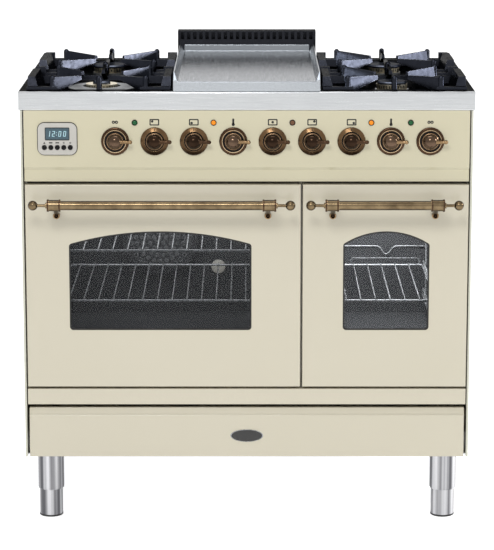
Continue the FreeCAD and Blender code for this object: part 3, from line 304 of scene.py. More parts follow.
def wire(name, colour, shade):
    """Plated wire, bright but not a mirror."""
    paint = Paint(name, colour, 0.45, 0.25)
    paint.tint(paint.noise(120), shade, 0.5)
    paint.gloss(paint.noise(200), 0.18, 0.34)
    paint.bump(paint.noise(900), 0.00002, 0.2)
    return paint.material


def plastic(name, colour, shade, rough, shine=0.5):
    """Moulded plastic or rubber with a very fine grain."""
    paint = Paint(name, colour, 0, rough)
    paint.set(Specular_IOR_Level=shine)
    paint.tint(paint.noise(40), shade, 0.35)
    paint.gloss(paint.noise(200), rough - 0.05, rough + 0.07)
    paint.bump(paint.noise(2600, detail=2), 0.00003, 0.4)
    return paint.material


def galvanised(name, colour, shade):
    """Zinc-coated sheet with its pattern of crystals."""
    paint = Paint(name, colour, 1, 0.42)
    crystals = paint.cells(70)
    paint.tint(crystals.outputs["Color"], shade, 0.55, 0.2, 0.9)
    paint.gloss(crystals.outputs["Color"], 0.36, 0.5)
    paint.bump(paint.noise(300), 0.00002, 0.3)
    return paint.material


def glass(name, tint, rough, clear):
    """Clear pane: the oven shows through, under a gloss that grows at grazing angles."""
    paint = Paint(name, tint, 0, rough)
    paint.tint(paint.noise(7), rgb(60, 62, 66), 0.25)
    paint.gloss(paint.noise(5), rough, rough + 0.03)
    paint.set(IOR=1.5)
    through = paint.tree.nodes.new("ShaderNodeBsdfTransparent")
    through.inputs["Color"].default_value = clear
    mix = paint.tree.nodes.new("ShaderNodeMixShader")
    fresnel = paint.node("ShaderNodeFresnel", IOR=1.52)
    paint.link(paint.spread(fresnel.outputs["Fac"], 0.1, 0.95, 0.03, 0.6), mix.inputs["Fac"])
    paint.link(through.outputs["BSDF"], mix.inputs[1])
    paint.link(paint.shader.outputs["BSDF"], mix.inputs[2])
    paint.link(mix.outputs["Shader"], paint.tree.nodes["Material Output"].inputs["Surface"])
    return paint.material


def glowing(name, colour, glow, strength, rough=0.25):
    """A small lens, pane or figure that gives a little light of its own."""
    paint = Paint(name, colour, 0, rough)
    paint.tint(paint.noise(300), rgb(15, 15, 15), 0.25)
    paint.set(Emission_Color=glow, Emission_Strength=strength, Coat_Weight=0.15, Coat_Roughness=0.1,
              Specular_IOR_Level=0.25)
    return paint.material


# The first block is for the solids, by slot or as a repaint, and the second for added pieces.
MATERIALS = {
    "side_enamel": enamel("SideEnamel", rgb(218, 218, 202), rgb(212, 211, 194), rough=0.3),
    "galvanised_steel": galvanised("GalvanisedSteel", rgb(176, 178, 180), rgb(140, 143, 146)),
    "cream_enamel": enamel("CreamEnamel", rgb(220, 213, 192), rgb(216, 209, 187)),
    "panel_enamel": enamel("PanelEnamel", rgb(221, 214, 184), rgb(217, 210, 179)),
    "stainless": brushed("BrushedStainless", rgb(196, 198, 199), rgb(176, 178, 180), (0.02, 1, 1), 0.3),
    # Painted reflection: dark streaks along its height.
    "polished_stainless": reflection_streaked("TurnedStainless", rgb(188, 188, 191), rgb(64, 64, 68), 0.14),
    # Painted shade on the upward face of the plate.
    "mirror_stainless": ground_plate("GroundStainless", rgb(184, 188, 192), rgb(108, 113, 120)),
    "black_enamel": satin_black(
        "BlackEnamel", rgb(26, 27, 30), rgb(20, 21, 23), rough=0.3, grazing=0.01, grain=0.3),
    "vent_enamel": satin_black(
        "VentEnamel", rgb(54, 55, 60), rgb(46, 47, 52), rough=0.3, grazing=0.05, grain=0.2),
    "cast_aluminium": cast(
        "CastAluminium", rgb(122, 124, 126), rgb(96, 98, 100), rough=0.4, coat=0.0, metallic=0.7),
    "brass_ring": old_metal(
        "BrassRing", rgb(232, 222, 196), rgb(190, 172, 136), rgb(250, 246, 230), 0.3),
    "brass_fitting": old_metal(
        "BrassFitting", rgb(196, 160, 90), rgb(140, 105, 50), rgb(230, 200, 130), 0.35),
    "cap_enamel": satin_black(
        "CapEnamel", rgb(76, 80, 90), rgb(62, 66, 75), rough=0.3, grazing=0.2, grain=0.4),
    # Painted highlight along the edges of the grates.
    "grate_iron": satin_black(
        "GrateIron", rgb(43, 45, 52), rgb(37, 39, 45), rough=0.22, grazing=0.02, grain=0.4, draft=0.15),
    # Painted shade: darker on faces turned down.
    "aged_bronze": old_metal(
        "AgedBronze", rgb(104, 81, 57), rgb(66, 50, 34), rgb(202, 170, 128), 0.22, underside_shade=0.9),
    "dark_bronze": old_metal("DarkBronze", rgb(50, 37, 28), rgb(30, 22, 16), rgb(112, 90, 68), 0.12),
    "worn_bronze": old_metal("WornBronze", rgb(96, 78, 64), rgb(54, 42, 32), rgb(160, 136, 110), 0.12),
    # Painted shade: darker on faces turned away from the front.
    "aged_brass": old_metal(
        "AgedBrass", rgb(126, 109, 83), rgb(48, 36, 24), rgb(190, 164, 128), 0.2, turned_away_shade=0.9),
    "timer_plastic": plastic("TimerPlastic", rgb(208, 205, 198), rgb(200, 197, 189), 0.4),
    "button_plastic": plastic("ButtonPlastic", rgb(12, 11, 11), rgb(20, 18, 17), 0.3, shine=0.15),
    "hinge_steel": brushed("HingeSteel", rgb(150, 150, 150), rgb(120, 120, 120), (1, 1, 0.1), 0.4),
    "oven_enamel": enamel(
        "OvenEnamel", rgb(70, 71, 73), rgb(77, 78, 80), rough=0.5, peel=0.02, coat=0, shine=0.3),
    "rack_chrome": wire("RackChrome", rgb(180, 182, 184), rgb(150, 152, 154)),
    "fan_aluminium": brushed("FanAluminium", rgb(170, 170, 172), rgb(140, 140, 142), (1, 1, 1), 0.4),
    "element_sheath": cast("ElementSheath", rgb(96, 92, 90), rgb(70, 66, 64), 0.5),
    "drawer_enamel": enamel("DrawerEnamel", rgb(218, 212, 192), rgb(213, 206, 186)),
    "door_glass": glass("DoorGlass", rgb(30, 31, 34), rough=0.04, clear=(0.96, 0.965, 0.97, 1)),
    "lamp_lens": glowing("AmberLens", rgb(120, 82, 54), rgb(140, 90, 60), 0.03),

    "green_lens": glowing("GreenLens", rgb(8, 84, 42), rgb(10, 130, 60), 0.12),
    "orange_lens": glowing("OrangeLens", rgb(228, 130, 20), rgb(255, 150, 20), 0.45),
    "panel_print": plastic("PanelPrint", rgb(16, 14, 10), rgb(24, 22, 18), 0.6),
    "display_glass": glowing("DisplayGlass", rgb(70, 88, 98), rgb(80, 110, 120), 0.25),
    "display_frame": plastic("DisplayFrame", rgb(40, 46, 46), rgb(28, 30, 30), 0.35),
    "display_figures": glowing("DisplayFigures", rgb(176, 208, 214), rgb(190, 228, 236), 0.35),
    "seal_rubber": plastic("SealRubber", rgb(24, 23, 22), rgb(34, 32, 30), 0.6),
    "badge_enamel": enamel(
        "BadgeEnamel", rgb(12, 11, 10), rgb(20, 18, 17), rough=0.3, peel=0.2, coat=0.2),
    "oven_lamp_glass": glowing(
        "OvenLampGlass", rgb(150, 150, 145), rgb(255, 250, 235), 0.25, rough=0.4),
    "brown_bronze": old_metal("BrownBronze", rgb(72, 54, 40), rgb(48, 36, 27), rgb(130, 102, 76), 0.22),
    "rubbed_bronze": old_metal(
        "RubbedBronze", rgb(202, 180, 148), rgb(160, 136, 104), rgb(236, 214, 180), 0.2),
    # Painted shade: darker on faces turned away from the front.
    "lever_bronze": old_metal(
        "LeverBronze", rgb(148, 122, 90), rgb(84, 64, 44), rgb(206, 178, 140), 0.24, turned_away_shade=0.9),
    "ring_bronze": old_metal(
        "RingBronze", rgb(138, 112, 86), rgb(96, 74, 54), rgb(190, 160, 124), 0.24),
    "spark_ceramic": plastic("SparkCeramic", rgb(226, 224, 218), rgb(206, 203, 196), 0.3),
}


# Nodes that differ a little from the rest of their slot.
REPAINTED = {
    "vent_grille": "vent_enamel",
    "left_oven_function_knob": "worn_bronze",
    "left_oven_thermostat_knob": "worn_bronze",
    "right_oven_thermostat_knob": "worn_bronze",
    "right_oven_function_knob": "worn_bronze",
}


def paint_nodes():
    """Gives every solid the material of its slot."""
    slots = {part["node"]: part["material_slot"] for part in frame["record"]["subparts"]}
    for name, item in frame["nodes"].items():
        item.data.materials.clear()
        item.data.materials.append(MATERIALS[REPAINTED.get(name, slots[name])])


def soften(names, width, segments=2):
    """Small round on a node's sharp edges."""
    for name in names:
        item = frame["nodes"][name]
        weld = item.modifiers.new("weld", "WELD")
        weld.merge_threshold = 0.000005
        bevel = item.modifiers.new("round", "BEVEL")
        bevel.width = width
        bevel.segments = segments
        bevel.limit_method = "ANGLE"
        bevel.angle_limit = math.radians(40)
        bevel.use_clamp_overlap = True
        bevel.harden_normals = True


# ---------------------------------------------------------------- pieces

def piece(name, mesh_maker, body, material):
    """A new mesh object of one material that rides on a body."""
    mesh = bpy.data.meshes.new(name)
    shape = bmesh.new()
    mesh_maker(shape)
    bmesh.ops.recalc_face_normals(shape, faces=shape.faces)
    shape.to_mesh(mesh)
    shape.free()
    item = bpy.data.objects.new(name, mesh)
    bpy.context.scene.collection.objects.link(item)
    item.data.materials.append(MATERIALS[material])
    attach(item, body)
    return item


def smooth(item, angle=35):
    """Smooth shading, with edges over an angle kept sharp."""
    for face in item.data.polygons:
        face.use_smooth = True
    item.data.set_sharp_from_angle(angle=math.radians(angle))
    return item


# The axis of a turned piece: towards the viewer or the back, to the right or left, or up.
TO_FRONT = Matrix(((1, 0, 0), (0, 0, -1), (0, 1, 0)))
TO_BACK = Matrix(((-1, 0, 0), (0, 0, 1), (0, 1, 0)))
TO_RIGHT = Matrix(((0, 0, 1), (0, 1, 0), (-1, 0, 0)))
TO_LEFT = Matrix(((0, 0, -1), (0, 1, 0), (1, 0, 0)))
UPWARDS = Matrix.Identity(3)


def lathe(shape, profile, centre, turn=TO_FRONT, steps=48, halves=(1, 1)):
    """A closed turned shape round an axis through the centre.

    The profile is (radius, height) in mm. For an oval, each radius is a share of the two half widths.
    """
    if profile[0][0] > 0 and profile[-1][0] == 0:
        profile = [(0, profile[0][1])] + profile
    rings = []
    for radius, height in profile:
        ring = []
        for step in range(steps if radius > 0 else 1):
            angle = 2 * math.pi * step / steps
            across, along = radius * halves[0] * math.cos(angle), radius * halves[1] * math.sin(angle)
            local = Vector((across, along, height)) / 1000
            ring.append(shape.verts.new(centre + turn @ local))
        rings.append(ring)
    following_rings = rings[1:] if profile[-1][0] == 0 else rings[1:] + rings[:1]
    for low, high in zip(rings, following_rings):
        for step in range(steps):
            following = (step + 1) % steps
            corners = [low[step % len(low)], low[following % len(low)],
                       high[following % len(high)], high[step % len(high)]]
            corners = list(dict.fromkeys(corners))
            if len(corners) > 2:
                shape.faces.new(corners)


def prism(shape, outlines):
    """A closed solid between two outlines with the same number of points."""
    near, far = ([shape.verts.new(point) for point in outline] for outline in outlines)
    shape.faces.new(near)
    shape.faces.new(far[::-1])
    for index in range(len(near)):
        following = (index + 1) % len(near)
        shape.faces.new((near[index], near[following], far[following], far[index]))


def slab(shape, outline, depth_near, depth_far):
    """A flat prism that faces the viewer; the outline is (x, z) in mm."""
    prism(shape, [[at(x, depth, z) for x, z in outline] for depth in (depth_near, depth_far)])


def rounded(left, foot, right, top, radius, steps=6):
    """Outline of a rectangle with round corners."""
    points = []
    for x, z, start in ((right - radius, top - radius, 0), (left + radius, top - radius, 90),
                        (left + radius, foot + radius, 180), (right - radius, foot + radius, 270)):
        for step in range(steps + 1):
            angle = math.radians(start + 90 * step / steps)
            points.append((x + radius * math.cos(angle), z + radius * math.sin(angle)))
    return points


def loop(shape, outer, inner, depth_near, depth_far):
    """A flat closed band between two outlines with the same number of points."""
    rows = []
    for outline, depth in ((outer, depth_far), (outer, depth_near),
                           (inner, depth_near), (inner, depth_far)):
        rows.append([shape.verts.new(at(x, depth, z)) for x, z in outline])
    count = len(outer)
    for first, second in zip(rows, rows[1:] + rows[:1]):
        for index in range(count):
            following = (index + 1) % count
            shape.faces.new((first[index], first[following], second[following], second[index]))


def ring_outline(x, z, radius, steps=16):
    """Outline of a disc."""
    angles = [2 * math.pi * step / steps for step in range(steps)]
    return [(x + radius * math.cos(angle), z + radius * math.sin(angle)) for angle in angles]


def tube(shape, points, radius, steps=10):
    """A bent wire through points with flat ends."""
    angles = [2 * math.pi * step / steps for step in range(steps)]
    rings = []
    for index, point in enumerate(points):
        before = points[max(index - 1, 0)]
        after = points[min(index + 1, len(points) - 1)]
        turn = (after - before).to_track_quat("Z", "Y").to_matrix()
        ring = [Vector((math.cos(angle), math.sin(angle), 0)) for angle in angles]
        rings.append([shape.verts.new(point + turn @ (offset * radius / 1000)) for offset in ring])
    for low, high in zip(rings, rings[1:]):
        for step in range(steps):
            following = (step + 1) % steps
            shape.faces.new((low[step], low[following], high[following], high[step]))
    shape.faces.new(rings[0][::-1])
    shape.faces.new(rings[-1])


# ---------------------------------------------------------------- control panel

def knob_across(number):
    """Place of a knob, counted from 0 at the left, or of a lamp halfway between two knobs."""
    return KNOB_FIRST + KNOB_PITCH * number


def lamps():
    """Five round lenses in thin collars, each in its own colour."""
    kinds = {
        "green": ("green_lens", (0.5, 7.5)),
        "orange": ("orange_lens", (2.5, 6.5)),
        "amber": ("lamp_lens", (4.5,)),
    }
    lens = [(4.4, 0), (4.4, 1.6), (3.8, 2.2), (2.2, 2.8), (0, 3)]
    for name, (material, places) in kinds.items():
        def lenses(shape):
            for number in places:
                centre = at(knob_across(number), PANEL_FACE, LAMP_LEVEL)
                lathe(shape, lens, centre, steps=24)
        item = smooth(piece(f"{name}_lamp_lens", lenses, "cabinet", material))
        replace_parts(item, "indicator_lamps")

    collar = [(5.9, 0), (5.9, 1.4), (5.4, 1.9), (4.6, 1.9), (4.4, 1.2), (4.4, 0)]

    def collars(shape):
        for number in sorted(place for material, places in kinds.values() for place in places):
            centre = at(knob_across(number), PANEL_FACE, LAMP_LEVEL)
            lathe(shape, collar, centre, steps=24)
    smooth(piece("lamp_collars", collars, "cabinet", "button_plastic"))


def bezels():
    """Fixed rings round the knobs: wide bevelled ones for gas, thin double ones for the ovens, with
    near-black painted shade in the gap round each knob and in the index notch of each gas bezel.
    """
    all_knobs = range(len(KNOB_BODIES))
    plain_knobs = [number for number in all_knobs if number not in GAS_KNOBS]
    bevelled = [(27.8, 0), (27.8, 2.3), (27.3, 3.1), (26.3, 3.7), (20.6, 6.7), (20, 7), (19.4, 6.8),
                (19.2, 2.6), (19.2, 0)]
    outer = [(27.8, 0), (27.8, 1.8), (27.2, 2.7), (25.6, 3.5), (23.6, 3.8), (23, 3.4), (22.9, 0)]
    inner = [(22.9, 2), (22.9, 5), (22.4, 5.9), (21.6, 6.1), (20.9, 5.6), (20.7, 2.6), (20.7, 0)]
    # Painted shade: a near-black ring fills the gap between knob and bezel.
    groove = [(23, 2.9), (17.2, 2.9), (17.2, 0.4), (23, 0.4)]

    def rings(profile, numbers):
        def make(shape):
            for number in numbers:
                lathe(shape, profile, at(knob_across(number), PANEL_FACE, KNOB_LEVEL), steps=64)
        return make

    made = [
        piece("gas_bezels", rings(bevelled, GAS_KNOBS), "cabinet", "aged_bronze"),
        piece("oven_bezels", rings(outer, plain_knobs), "cabinet", "brown_bronze"),
        piece("oven_bezel_rims", rings(inner, plain_knobs), "cabinet", "rubbed_bronze"),
        piece("bezel_grooves", rings(groove, all_knobs), "cabinet", "button_plastic"),
    ]
    for item in made:
        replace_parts(smooth(item), "knob_bezels")

    # Painted shade: a near-black sliver marks the index notch on each gas bezel.
    def notches(shape):
        for number in GAS_KNOBS:
            x = knob_across(number)
            low, high = KNOB_LEVEL + 21.4, KNOB_LEVEL + 25.4
            corners = ((-0.8, low, 6.35), (0.8, low, 6.35), (0.8, high, 4.2), (-0.8, high, 4.2))
            prism(shape, [[at(x + side, PANEL_FACE - lift - height, z) for side, z, height in corners]
                          for lift in (0.12, -0.4)])
    piece("bezel_notches", notches, "cabinet", "button_plastic")


def knob_trims():
    """Lever with its ball and the thin ring round each dome; they turn with the knob."""
    for number, body in enumerate(KNOB_BODIES):
        gas = number in GAS_KNOBS
        height = 8 if gas else 7
        metal = "brown_bronze" if gas else "lever_bronze"
        centre = at(knob_across(number), PANEL_FACE, KNOB_LEVEL)
        ring = [(17.15, height - 1.5), (17.15, height - 0.2), (16.7, height + 0.5),
                (15.6, height + 1.5), (15.1, height + 1.6), (14.8, height)]
        item = piece(f"{body}_ring", lambda shape: lathe(shape, ring, centre), body,
                     "ring_bronze")
        smooth(item)
        lever = [(0, 10.5), (4.1, 10.5), (3.8, 15), (3.3, 22), (3, 26.2), (3.5, 27.2), (4, 28.6),
                 (4.2, 30.2), (3.9, 31.8), (3, 33.3), (1.6, 34.1), (0, 34.4)]
        middle = at(knob_across(number), PANEL_FACE - 15, KNOB_LEVEL)
        item = piece(f"{body}_lever", lambda shape: lathe(shape, lever, middle, TO_RIGHT, 20), body,
                     metal)
        smooth(item)


def icons():
    """Printed signs over the knobs: which burner or what the knob sets."""
    print_face = PANEL_FACE - 0.08
    level = SIGN_LEVEL
    dots = {1: (-1, 1), 2: (-1, -1), 4: (0, 0), 5: (1, 1), 6: (1, -1)}

    def prints(shape):
        for number, (side, rise) in dots.items():
            x = knob_across(number)
            outer = rounded(x - 9.6, level - 6.5, x + 9.6, level + 6.5, 2)
            inner = rounded(x - 7.3, level - 4.2, x + 7.3, level + 4.2, 1.2)
            loop(shape, outer, inner, print_face, PANEL_FACE)
            slab(shape, ring_outline(x + side * 4.3, level + rise * 1.6, 2.5), print_face, PANEL_FACE)
        for number in (0, 8):
            x = knob_across(number)
            for side in (-1, 1):
                centre = x + side * 3
                loop(shape, ring_outline(centre, level, 3.2), ring_outline(centre, level, 1),
                     print_face, PANEL_FACE)
        for number in (3, 7):
            x = knob_across(number)
            slab(shape, rounded(x - 2, level - 4, x + 2, level + 7.5, 1.6), print_face, PANEL_FACE)
            slab(shape, ring_outline(x, level - 4.4, 3.2), print_face, PANEL_FACE)
    piece("panel_icons", prints, "cabinet", "panel_print")


def timer_shadow_band():
    """Dark band that shows as a thin line round the timer: a painted shadow of its housing."""
    half_width, half_height = 38.3, 31.5

    def edge(grow, radius):
        return rounded(TIMER_ACROSS - half_width - grow, TIMER_LEVEL - half_height - grow,
                       TIMER_ACROSS + half_width + grow, TIMER_LEVEL + half_height + grow, radius)
    outer, inner = edge(1.5, 14.5), edge(-1, 12)
    # Painted shadow: a dark band all round the timer.
    piece("timer_shadow_band", lambda shape: loop(shape, outer, inner, 1.2, 2), "cabinet", "seal_rubber")


def timer_display():
    """Dark glass of the clock with four figures made of bars, and a plain sign over each button."""
    left, right, foot, top = -397.5, -350.5, 780, 804
    glass_face, figure_face = -1.0, -1.15
    window = rounded(left, foot, right, top, 1.5)
    piece("display_window", lambda shape: slab(shape, window, glass_face, -0.55), "cabinet",
          "display_glass")

    def frame_of_display(shape):
        loop(shape, rounded(left - 0.8, foot - 0.8, right + 0.8, top + 0.8, 2.2),
             rounded(left + 0.6, foot + 0.9, right - 0.6, top - 0.9, 1.2), -2.5, -0.6)
    piece("display_frame", frame_of_display, "cabinet", "display_frame")

    bars = {"1": "bc", "2": "abged", "0": "abcdef"}
    width, height, gauge, lean = 5.2, 11, 1.3, 0.12

    def figure(shape, x, z, sign):
        half = height / 2
        spans = {
            "a": ((0, height - gauge), (width, height)), "d": ((0, 0), (width, gauge)),
            "g": ((0, half - gauge / 2), (width, half + gauge / 2)),
            "b": ((width - gauge, half), (width, height)), "c": ((width - gauge, 0), (width, half)),
            "f": ((0, half), (gauge, height)), "e": ((0, 0), (gauge, half)),
        }
        for bar in bars[sign]:
            (x0, z0), (x1, z1) = spans[bar]
            corners = [(x + x0 + lean * z0, z + z0), (x + x1 + lean * z0, z + z0),
                       (x + x1 + lean * z1, z + z1), (x + x0 + lean * z1, z + z1)]
            slab(shape, corners, figure_face, glass_face)

    def figures(shape):
        for sign, x in (("1", -394), ("2", -384.5), ("0", -372), ("0", -362.5)):
            figure(shape, x, 786.5, sign)
        for level in (789.5, 794.5):
            slab(shape, ring_outline(-375.4, level, 0.8, 8), figure_face, glass_face)
    piece("display_figures", figures, "cabinet", "display_figures")

    def signs(shape):
        near, far = -2.08, -1.95
        level = 774.3
        for number in range(5):
            x = TIMER_ACROSS + (number - 2) * 12.8
            if number == 0:
                triangle = [(x - 2.2, level - 1.8), (x + 2.2, level - 1.8), (x, level + 2.2)]
                slab(shape, triangle, near, far)
            elif number < 3:
                slab(shape, rounded(x - 3.6, level - 1.2, x + 3.6, level + 1.2, 0.9), near, far)
            else:
                loop(shape, ring_outline(x, level, 1.7), ring_outline(x, level, 0.8), near, far)
    piece("timer_signs", signs, "cabinet", "panel_print")


# ---------------------------------------------------------------- hob

def burner_details():
    """Near-black marks for the gas ports round each ring, as painted shade of the port holes, and a
    spark pin in its white sleeve beside it.
    """
    ports_per_burner = 32

    # Painted shade: near-black marks stand for the shaded port holes.
    def ports(shape):
        for x, depth, radius in BURNERS.values():
            for step in range(ports_per_burner):
                angle = 2 * math.pi * step / ports_per_burner
                across = Vector((math.cos(angle), math.sin(angle), 0))
                along = Vector((-math.sin(angle), math.cos(angle), 0))
                centre = at(x, depth, HOB_LEVEL - 5)
                corners = [along * side * 0.0009 + Vector((0, 0, up * 0.0028))
                           for side, up in ((-1, -1), (1, -1), (1, 1), (-1, 1))]
                prism(shape, [[centre + across * (radius + lift) / 1000 + corner for corner in corners]
                              for lift in (0.12, -0.6)])
    piece("burner_ports", ports, "cabinet", "button_plastic")

    def around(profile):
        def make(shape):
            for x, depth, radius in BURNERS.values():
                reach = radius + 3.2
                place = at(x + 0.62 * reach, depth + 0.78 * reach, HOB_LEVEL - 15)
                lathe(shape, profile, place, UPWARDS, 16)
        return make
    sleeve = [(2.6, 0), (2.6, 8), (2.1, 9), (1.1, 9.4), (0, 9.4)]
    pin = [(0.9, 9), (0.9, 13), (0, 13.4)]
    smooth(piece("spark_sleeves", around(sleeve), "cabinet", "spark_ceramic"))
    smooth(piece("spark_pins", around(pin), "cabinet", "rack_chrome"))


# ---------------------------------------------------------------- doors and drawer

def arch(left, right, foot, top, rise, inset, steps=24):
    """Outline of a door window with an arched top, drawn inwards by an inset."""
    span = (right - left) / 2
    radius = (span * span + rise * rise) / (2 * rise)
    middle = (left + right) / 2
    centre = top - radius
    reach = radius - inset
    half = span - inset
    points = []
    corner, corner_steps = 6, 4
    for x, z, start in ((left + inset + corner, foot + inset + corner, 180),
                        (right - inset - corner, foot + inset + corner, 270)):
        for step in range(corner_steps + 1):
            angle = math.radians(start + 90 * step / corner_steps)
            points.append((x + corner * math.cos(angle), z + corner * math.sin(angle)))
    for step in range(steps + 1):
        x = half - 2 * half * step / steps
        points.append((middle + x, centre + math.sqrt(reach * reach - x * x)))
    return points


WINDOWS = {"left": (-354, 9.5), "right": (192, 364)}
WINDOW_FOOT, WINDOW_TOP, WINDOW_RISE = 395.4, 596.5, 26


def window_seals():
    """Black rubber line between the enamelled opening and the pane."""
    for side, (left, right) in WINDOWS.items():
        outer = arch(left, right, WINDOW_FOOT, WINDOW_TOP, WINDOW_RISE, -0.3)
        inner = arch(left, right, WINDOW_FOOT, WINDOW_TOP, WINDOW_RISE, 3.2)
        item = piece(f"{side}_window_seal", lambda shape: loop(shape, outer, inner, 1.4, 3.1),
                     f"{side}_door", "seal_rubber")
        smooth(item)


HANDLES = {"left": (-366, 31), "right": (181.5, 362.5)}


def handle_bands():
    """Dark turned rings at both ends of the handles' cups."""
    for side, (left, right) in HANDLES.items():
        def bands(shape):
            for edge, sign in ((left, -1), (right, 1)):
                for start, radius in ((0.6, 12.3), (23.4, 12.5)):
                    near = min(sign * start, sign * (start + 3.2))
                    band = [(10, 0), (radius - 0.6, 0), (radius, 0.5), (radius, 2.7),
                            (radius - 0.6, 3.2), (10, 3.2)]
                    lathe(shape, band, at(edge + near, HANDLE_DEPTH, HANDLE_LEVEL), TO_RIGHT, 40)
        smooth(piece(f"{side}_handle_bands", bands, f"{side}_door", "brown_bronze"))


def handle_eyes():
    """Turned boss round the foot of each slanted post: a bright rim round a dark sunk centre."""
    rim = [(6.6, 0), (6.6, 12), (6.9, 12.7), (6.4, 14), (5.3, 14.4), (4.4, 13.9), (3.9, 13.2)]
    centre = [(4, 13.25), (2.2, 13.25), (1.8, 13.8), (0, 14)]
    for side, (left, right) in HANDLES.items():
        feet = (left - 11, right + 11)
        for name, profile, material in (("rims", rim, "lever_bronze"),
                                        ("centres", centre, "dark_bronze")):
            def eyes(shape):
                for x in feet:
                    lathe(shape, profile, at(x, 0, POST_LEVEL), steps=32)
            smooth(piece(f"{side}_handle_eye_{name}", eyes, f"{side}_door", material))


def badge():
    """Bare oval plate in a thin rim, on the drawer."""
    centre = at(0, PANEL_FACE, BADGE_LEVEL)

    def plate(shape):
        lathe(shape, [(0.98, 0), (0.98, 1.5), (0.9, 1.6), (0, 1.8)], centre,
              steps=64, halves=BADGE_HALVES)
    smooth(piece("badge_plate", plate, "drawer", "badge_enamel"), 30)

    def rim(shape):
        lathe(shape, [(1.02, 0), (1.02, 1.6), (0.995, 2.1), (0.97, 2.1), (0.955, 1.5)], centre,
              steps=64, halves=BADGE_HALVES)
    smooth(piece("badge_rim", rim, "drawer", "rack_chrome"), 30)


def oven_seals():
    """Soft gasket round each oven mouth, on the front frame."""
    for side, left, right in (("left", -391, 59), ("right", 161, 391)):
        outer = rounded(left - 18, 312, right + 18, 668, 12)
        inner = rounded(left - 8, 322, right + 8, 658, 8)
        item = piece(f"{side}_oven_seal", lambda shape: loop(shape, outer, inner, 41, 44),
                     "cabinet", "seal_rubber")
        smooth(item)


def oven_lamp():
    """Glass cover of the lit lamp on the left oven's back wall."""
    dome = [(15, 0), (15, 3), (13, 7), (9, 10), (4, 11.5), (0, 12)]
    smooth(piece("oven_lamp_cover", lambda shape: lathe(shape, dome, at(-62, 480, 432), steps=32),
                 "cabinet", "oven_lamp_glass"))


def right_oven_wires():
    """Sensor tube across the back wall with a dip in its middle, and the rack's rear stop."""
    def bent(places, radius):
        return lambda shape: tube(shape, [at(*place) for place in places], radius)

    sensor = [(163, 476, 478), (284, 476, 478), (291, 475, 474), (298, 474, 464), (304, 473, 460),
              (310, 474, 464), (317, 475, 474), (324, 476, 478), (389, 476, 478)]
    stop = [(226, 450, 442), (226, 451, 452), (230, 451, 456), (370, 451, 456), (374, 451, 452),
            (374, 450, 442)]
    smooth(piece("right_oven_sensor", bent(sensor, 1.5), "cabinet", "rack_chrome"))
    smooth(piece("right_rack_stop", bent(stop, 1.3), "right_rack", "rack_chrome"))


def fan_cover_rims():
    """Pressed rim round each hole of the fan's cover."""
    pitch = 13
    rim = [(3.3, 0), (3.5, 0.9), (4.1, 0.9), (4.6, 0)]
    places = [(0, 0)]
    for ring in range(1, 6):
        for step in range(6 * ring):
            turn = 2 * math.pi * step / (6 * ring)
            places.append((pitch * ring * math.cos(turn), pitch * ring * math.sin(turn)))

    def rims(shape):
        for across, up in places:
            lathe(shape, rim, at(FAN_ACROSS + across, FAN_COVER_FACE, FAN_LEVEL + up), steps=12)
    smooth(piece("fan_cover_rims", rims, "cabinet", "rack_chrome"))


# ---------------------------------------------------------------- back, sides and feet

SCREW = [(3.9, 0), (3.7, 0.9), (2.8, 1.6), (1.5, 1.9), (1.3, 1.2), (0, 1.2)]


def screws():
    """Pan-head screws along the edges of the back panel and of both sides."""
    def on_back(shape):
        for z in (150, 310, 470, 630, 790):
            for x in (-434, 434):
                lathe(shape, SCREW, at(x, BACK_FACE, z), TO_BACK, 20)
        for x in (-290, -145, 0, 145, 290):
            for z in (146, 824):
                lathe(shape, SCREW, at(x, BACK_FACE, z), TO_BACK, 20)
    smooth(piece("back_screws", on_back, "cabinet", "hinge_steel"))

    def on_sides(shape):
        for depth in (30, 300, 570):
            for z in (148, 824):
                lathe(shape, SCREW, at(SIDE_FACE, depth, z), TO_RIGHT, 20)
                lathe(shape, SCREW, at(-SIDE_FACE, depth, z), TO_LEFT, 20)
    smooth(piece("side_screws", on_sides, "cabinet", "hinge_steel"))


def rating_plate():
    """Bare plate low on the back, held by two rivets."""
    outline = rounded(250, 175, 340, 225, 3)
    piece("rating_plate", lambda shape: slab(shape, outline, 577, 577.6), "cabinet", "fan_aluminium")

    rivet = [(1.8, 0), (1.5, 0.7), (0, 1)]

    def rivets(shape):
        for x in (255, 335):
            lathe(shape, rivet, at(x, 577.5, 200), TO_BACK, 16)
    smooth(piece("rating_plate_rivets", rivets, "cabinet", "hinge_steel"))


def foot_glides():
    """Dark plastic ring under each adjustable foot."""
    glide = [(18, 0.1), (22.4, 0.1), (24.2, 1.5), (24.3, 4.2), (23.9, 4.4)]

    def glides(shape):
        for x in FEET_ACROSS:
            for depth in FEET_DEPTHS:
                lathe(shape, glide, at(x, depth, 0), UPWARDS)
    smooth(piece("foot_glides", glides, "feet", "seal_rubber"))


# ---------------------------------------------------------------- stage

FLOOR_HALF = 40  # m
FLOOR_GLOW = 0.71
LIGHT_LEVEL = 0.55
EYE = (0.0005, -5.2715, 1.503)  # m
LOOKS_DOWN = 11.255  # degrees
FOCAL_LENGTH = 167.3  # mm, on a sensor 36 mm wide


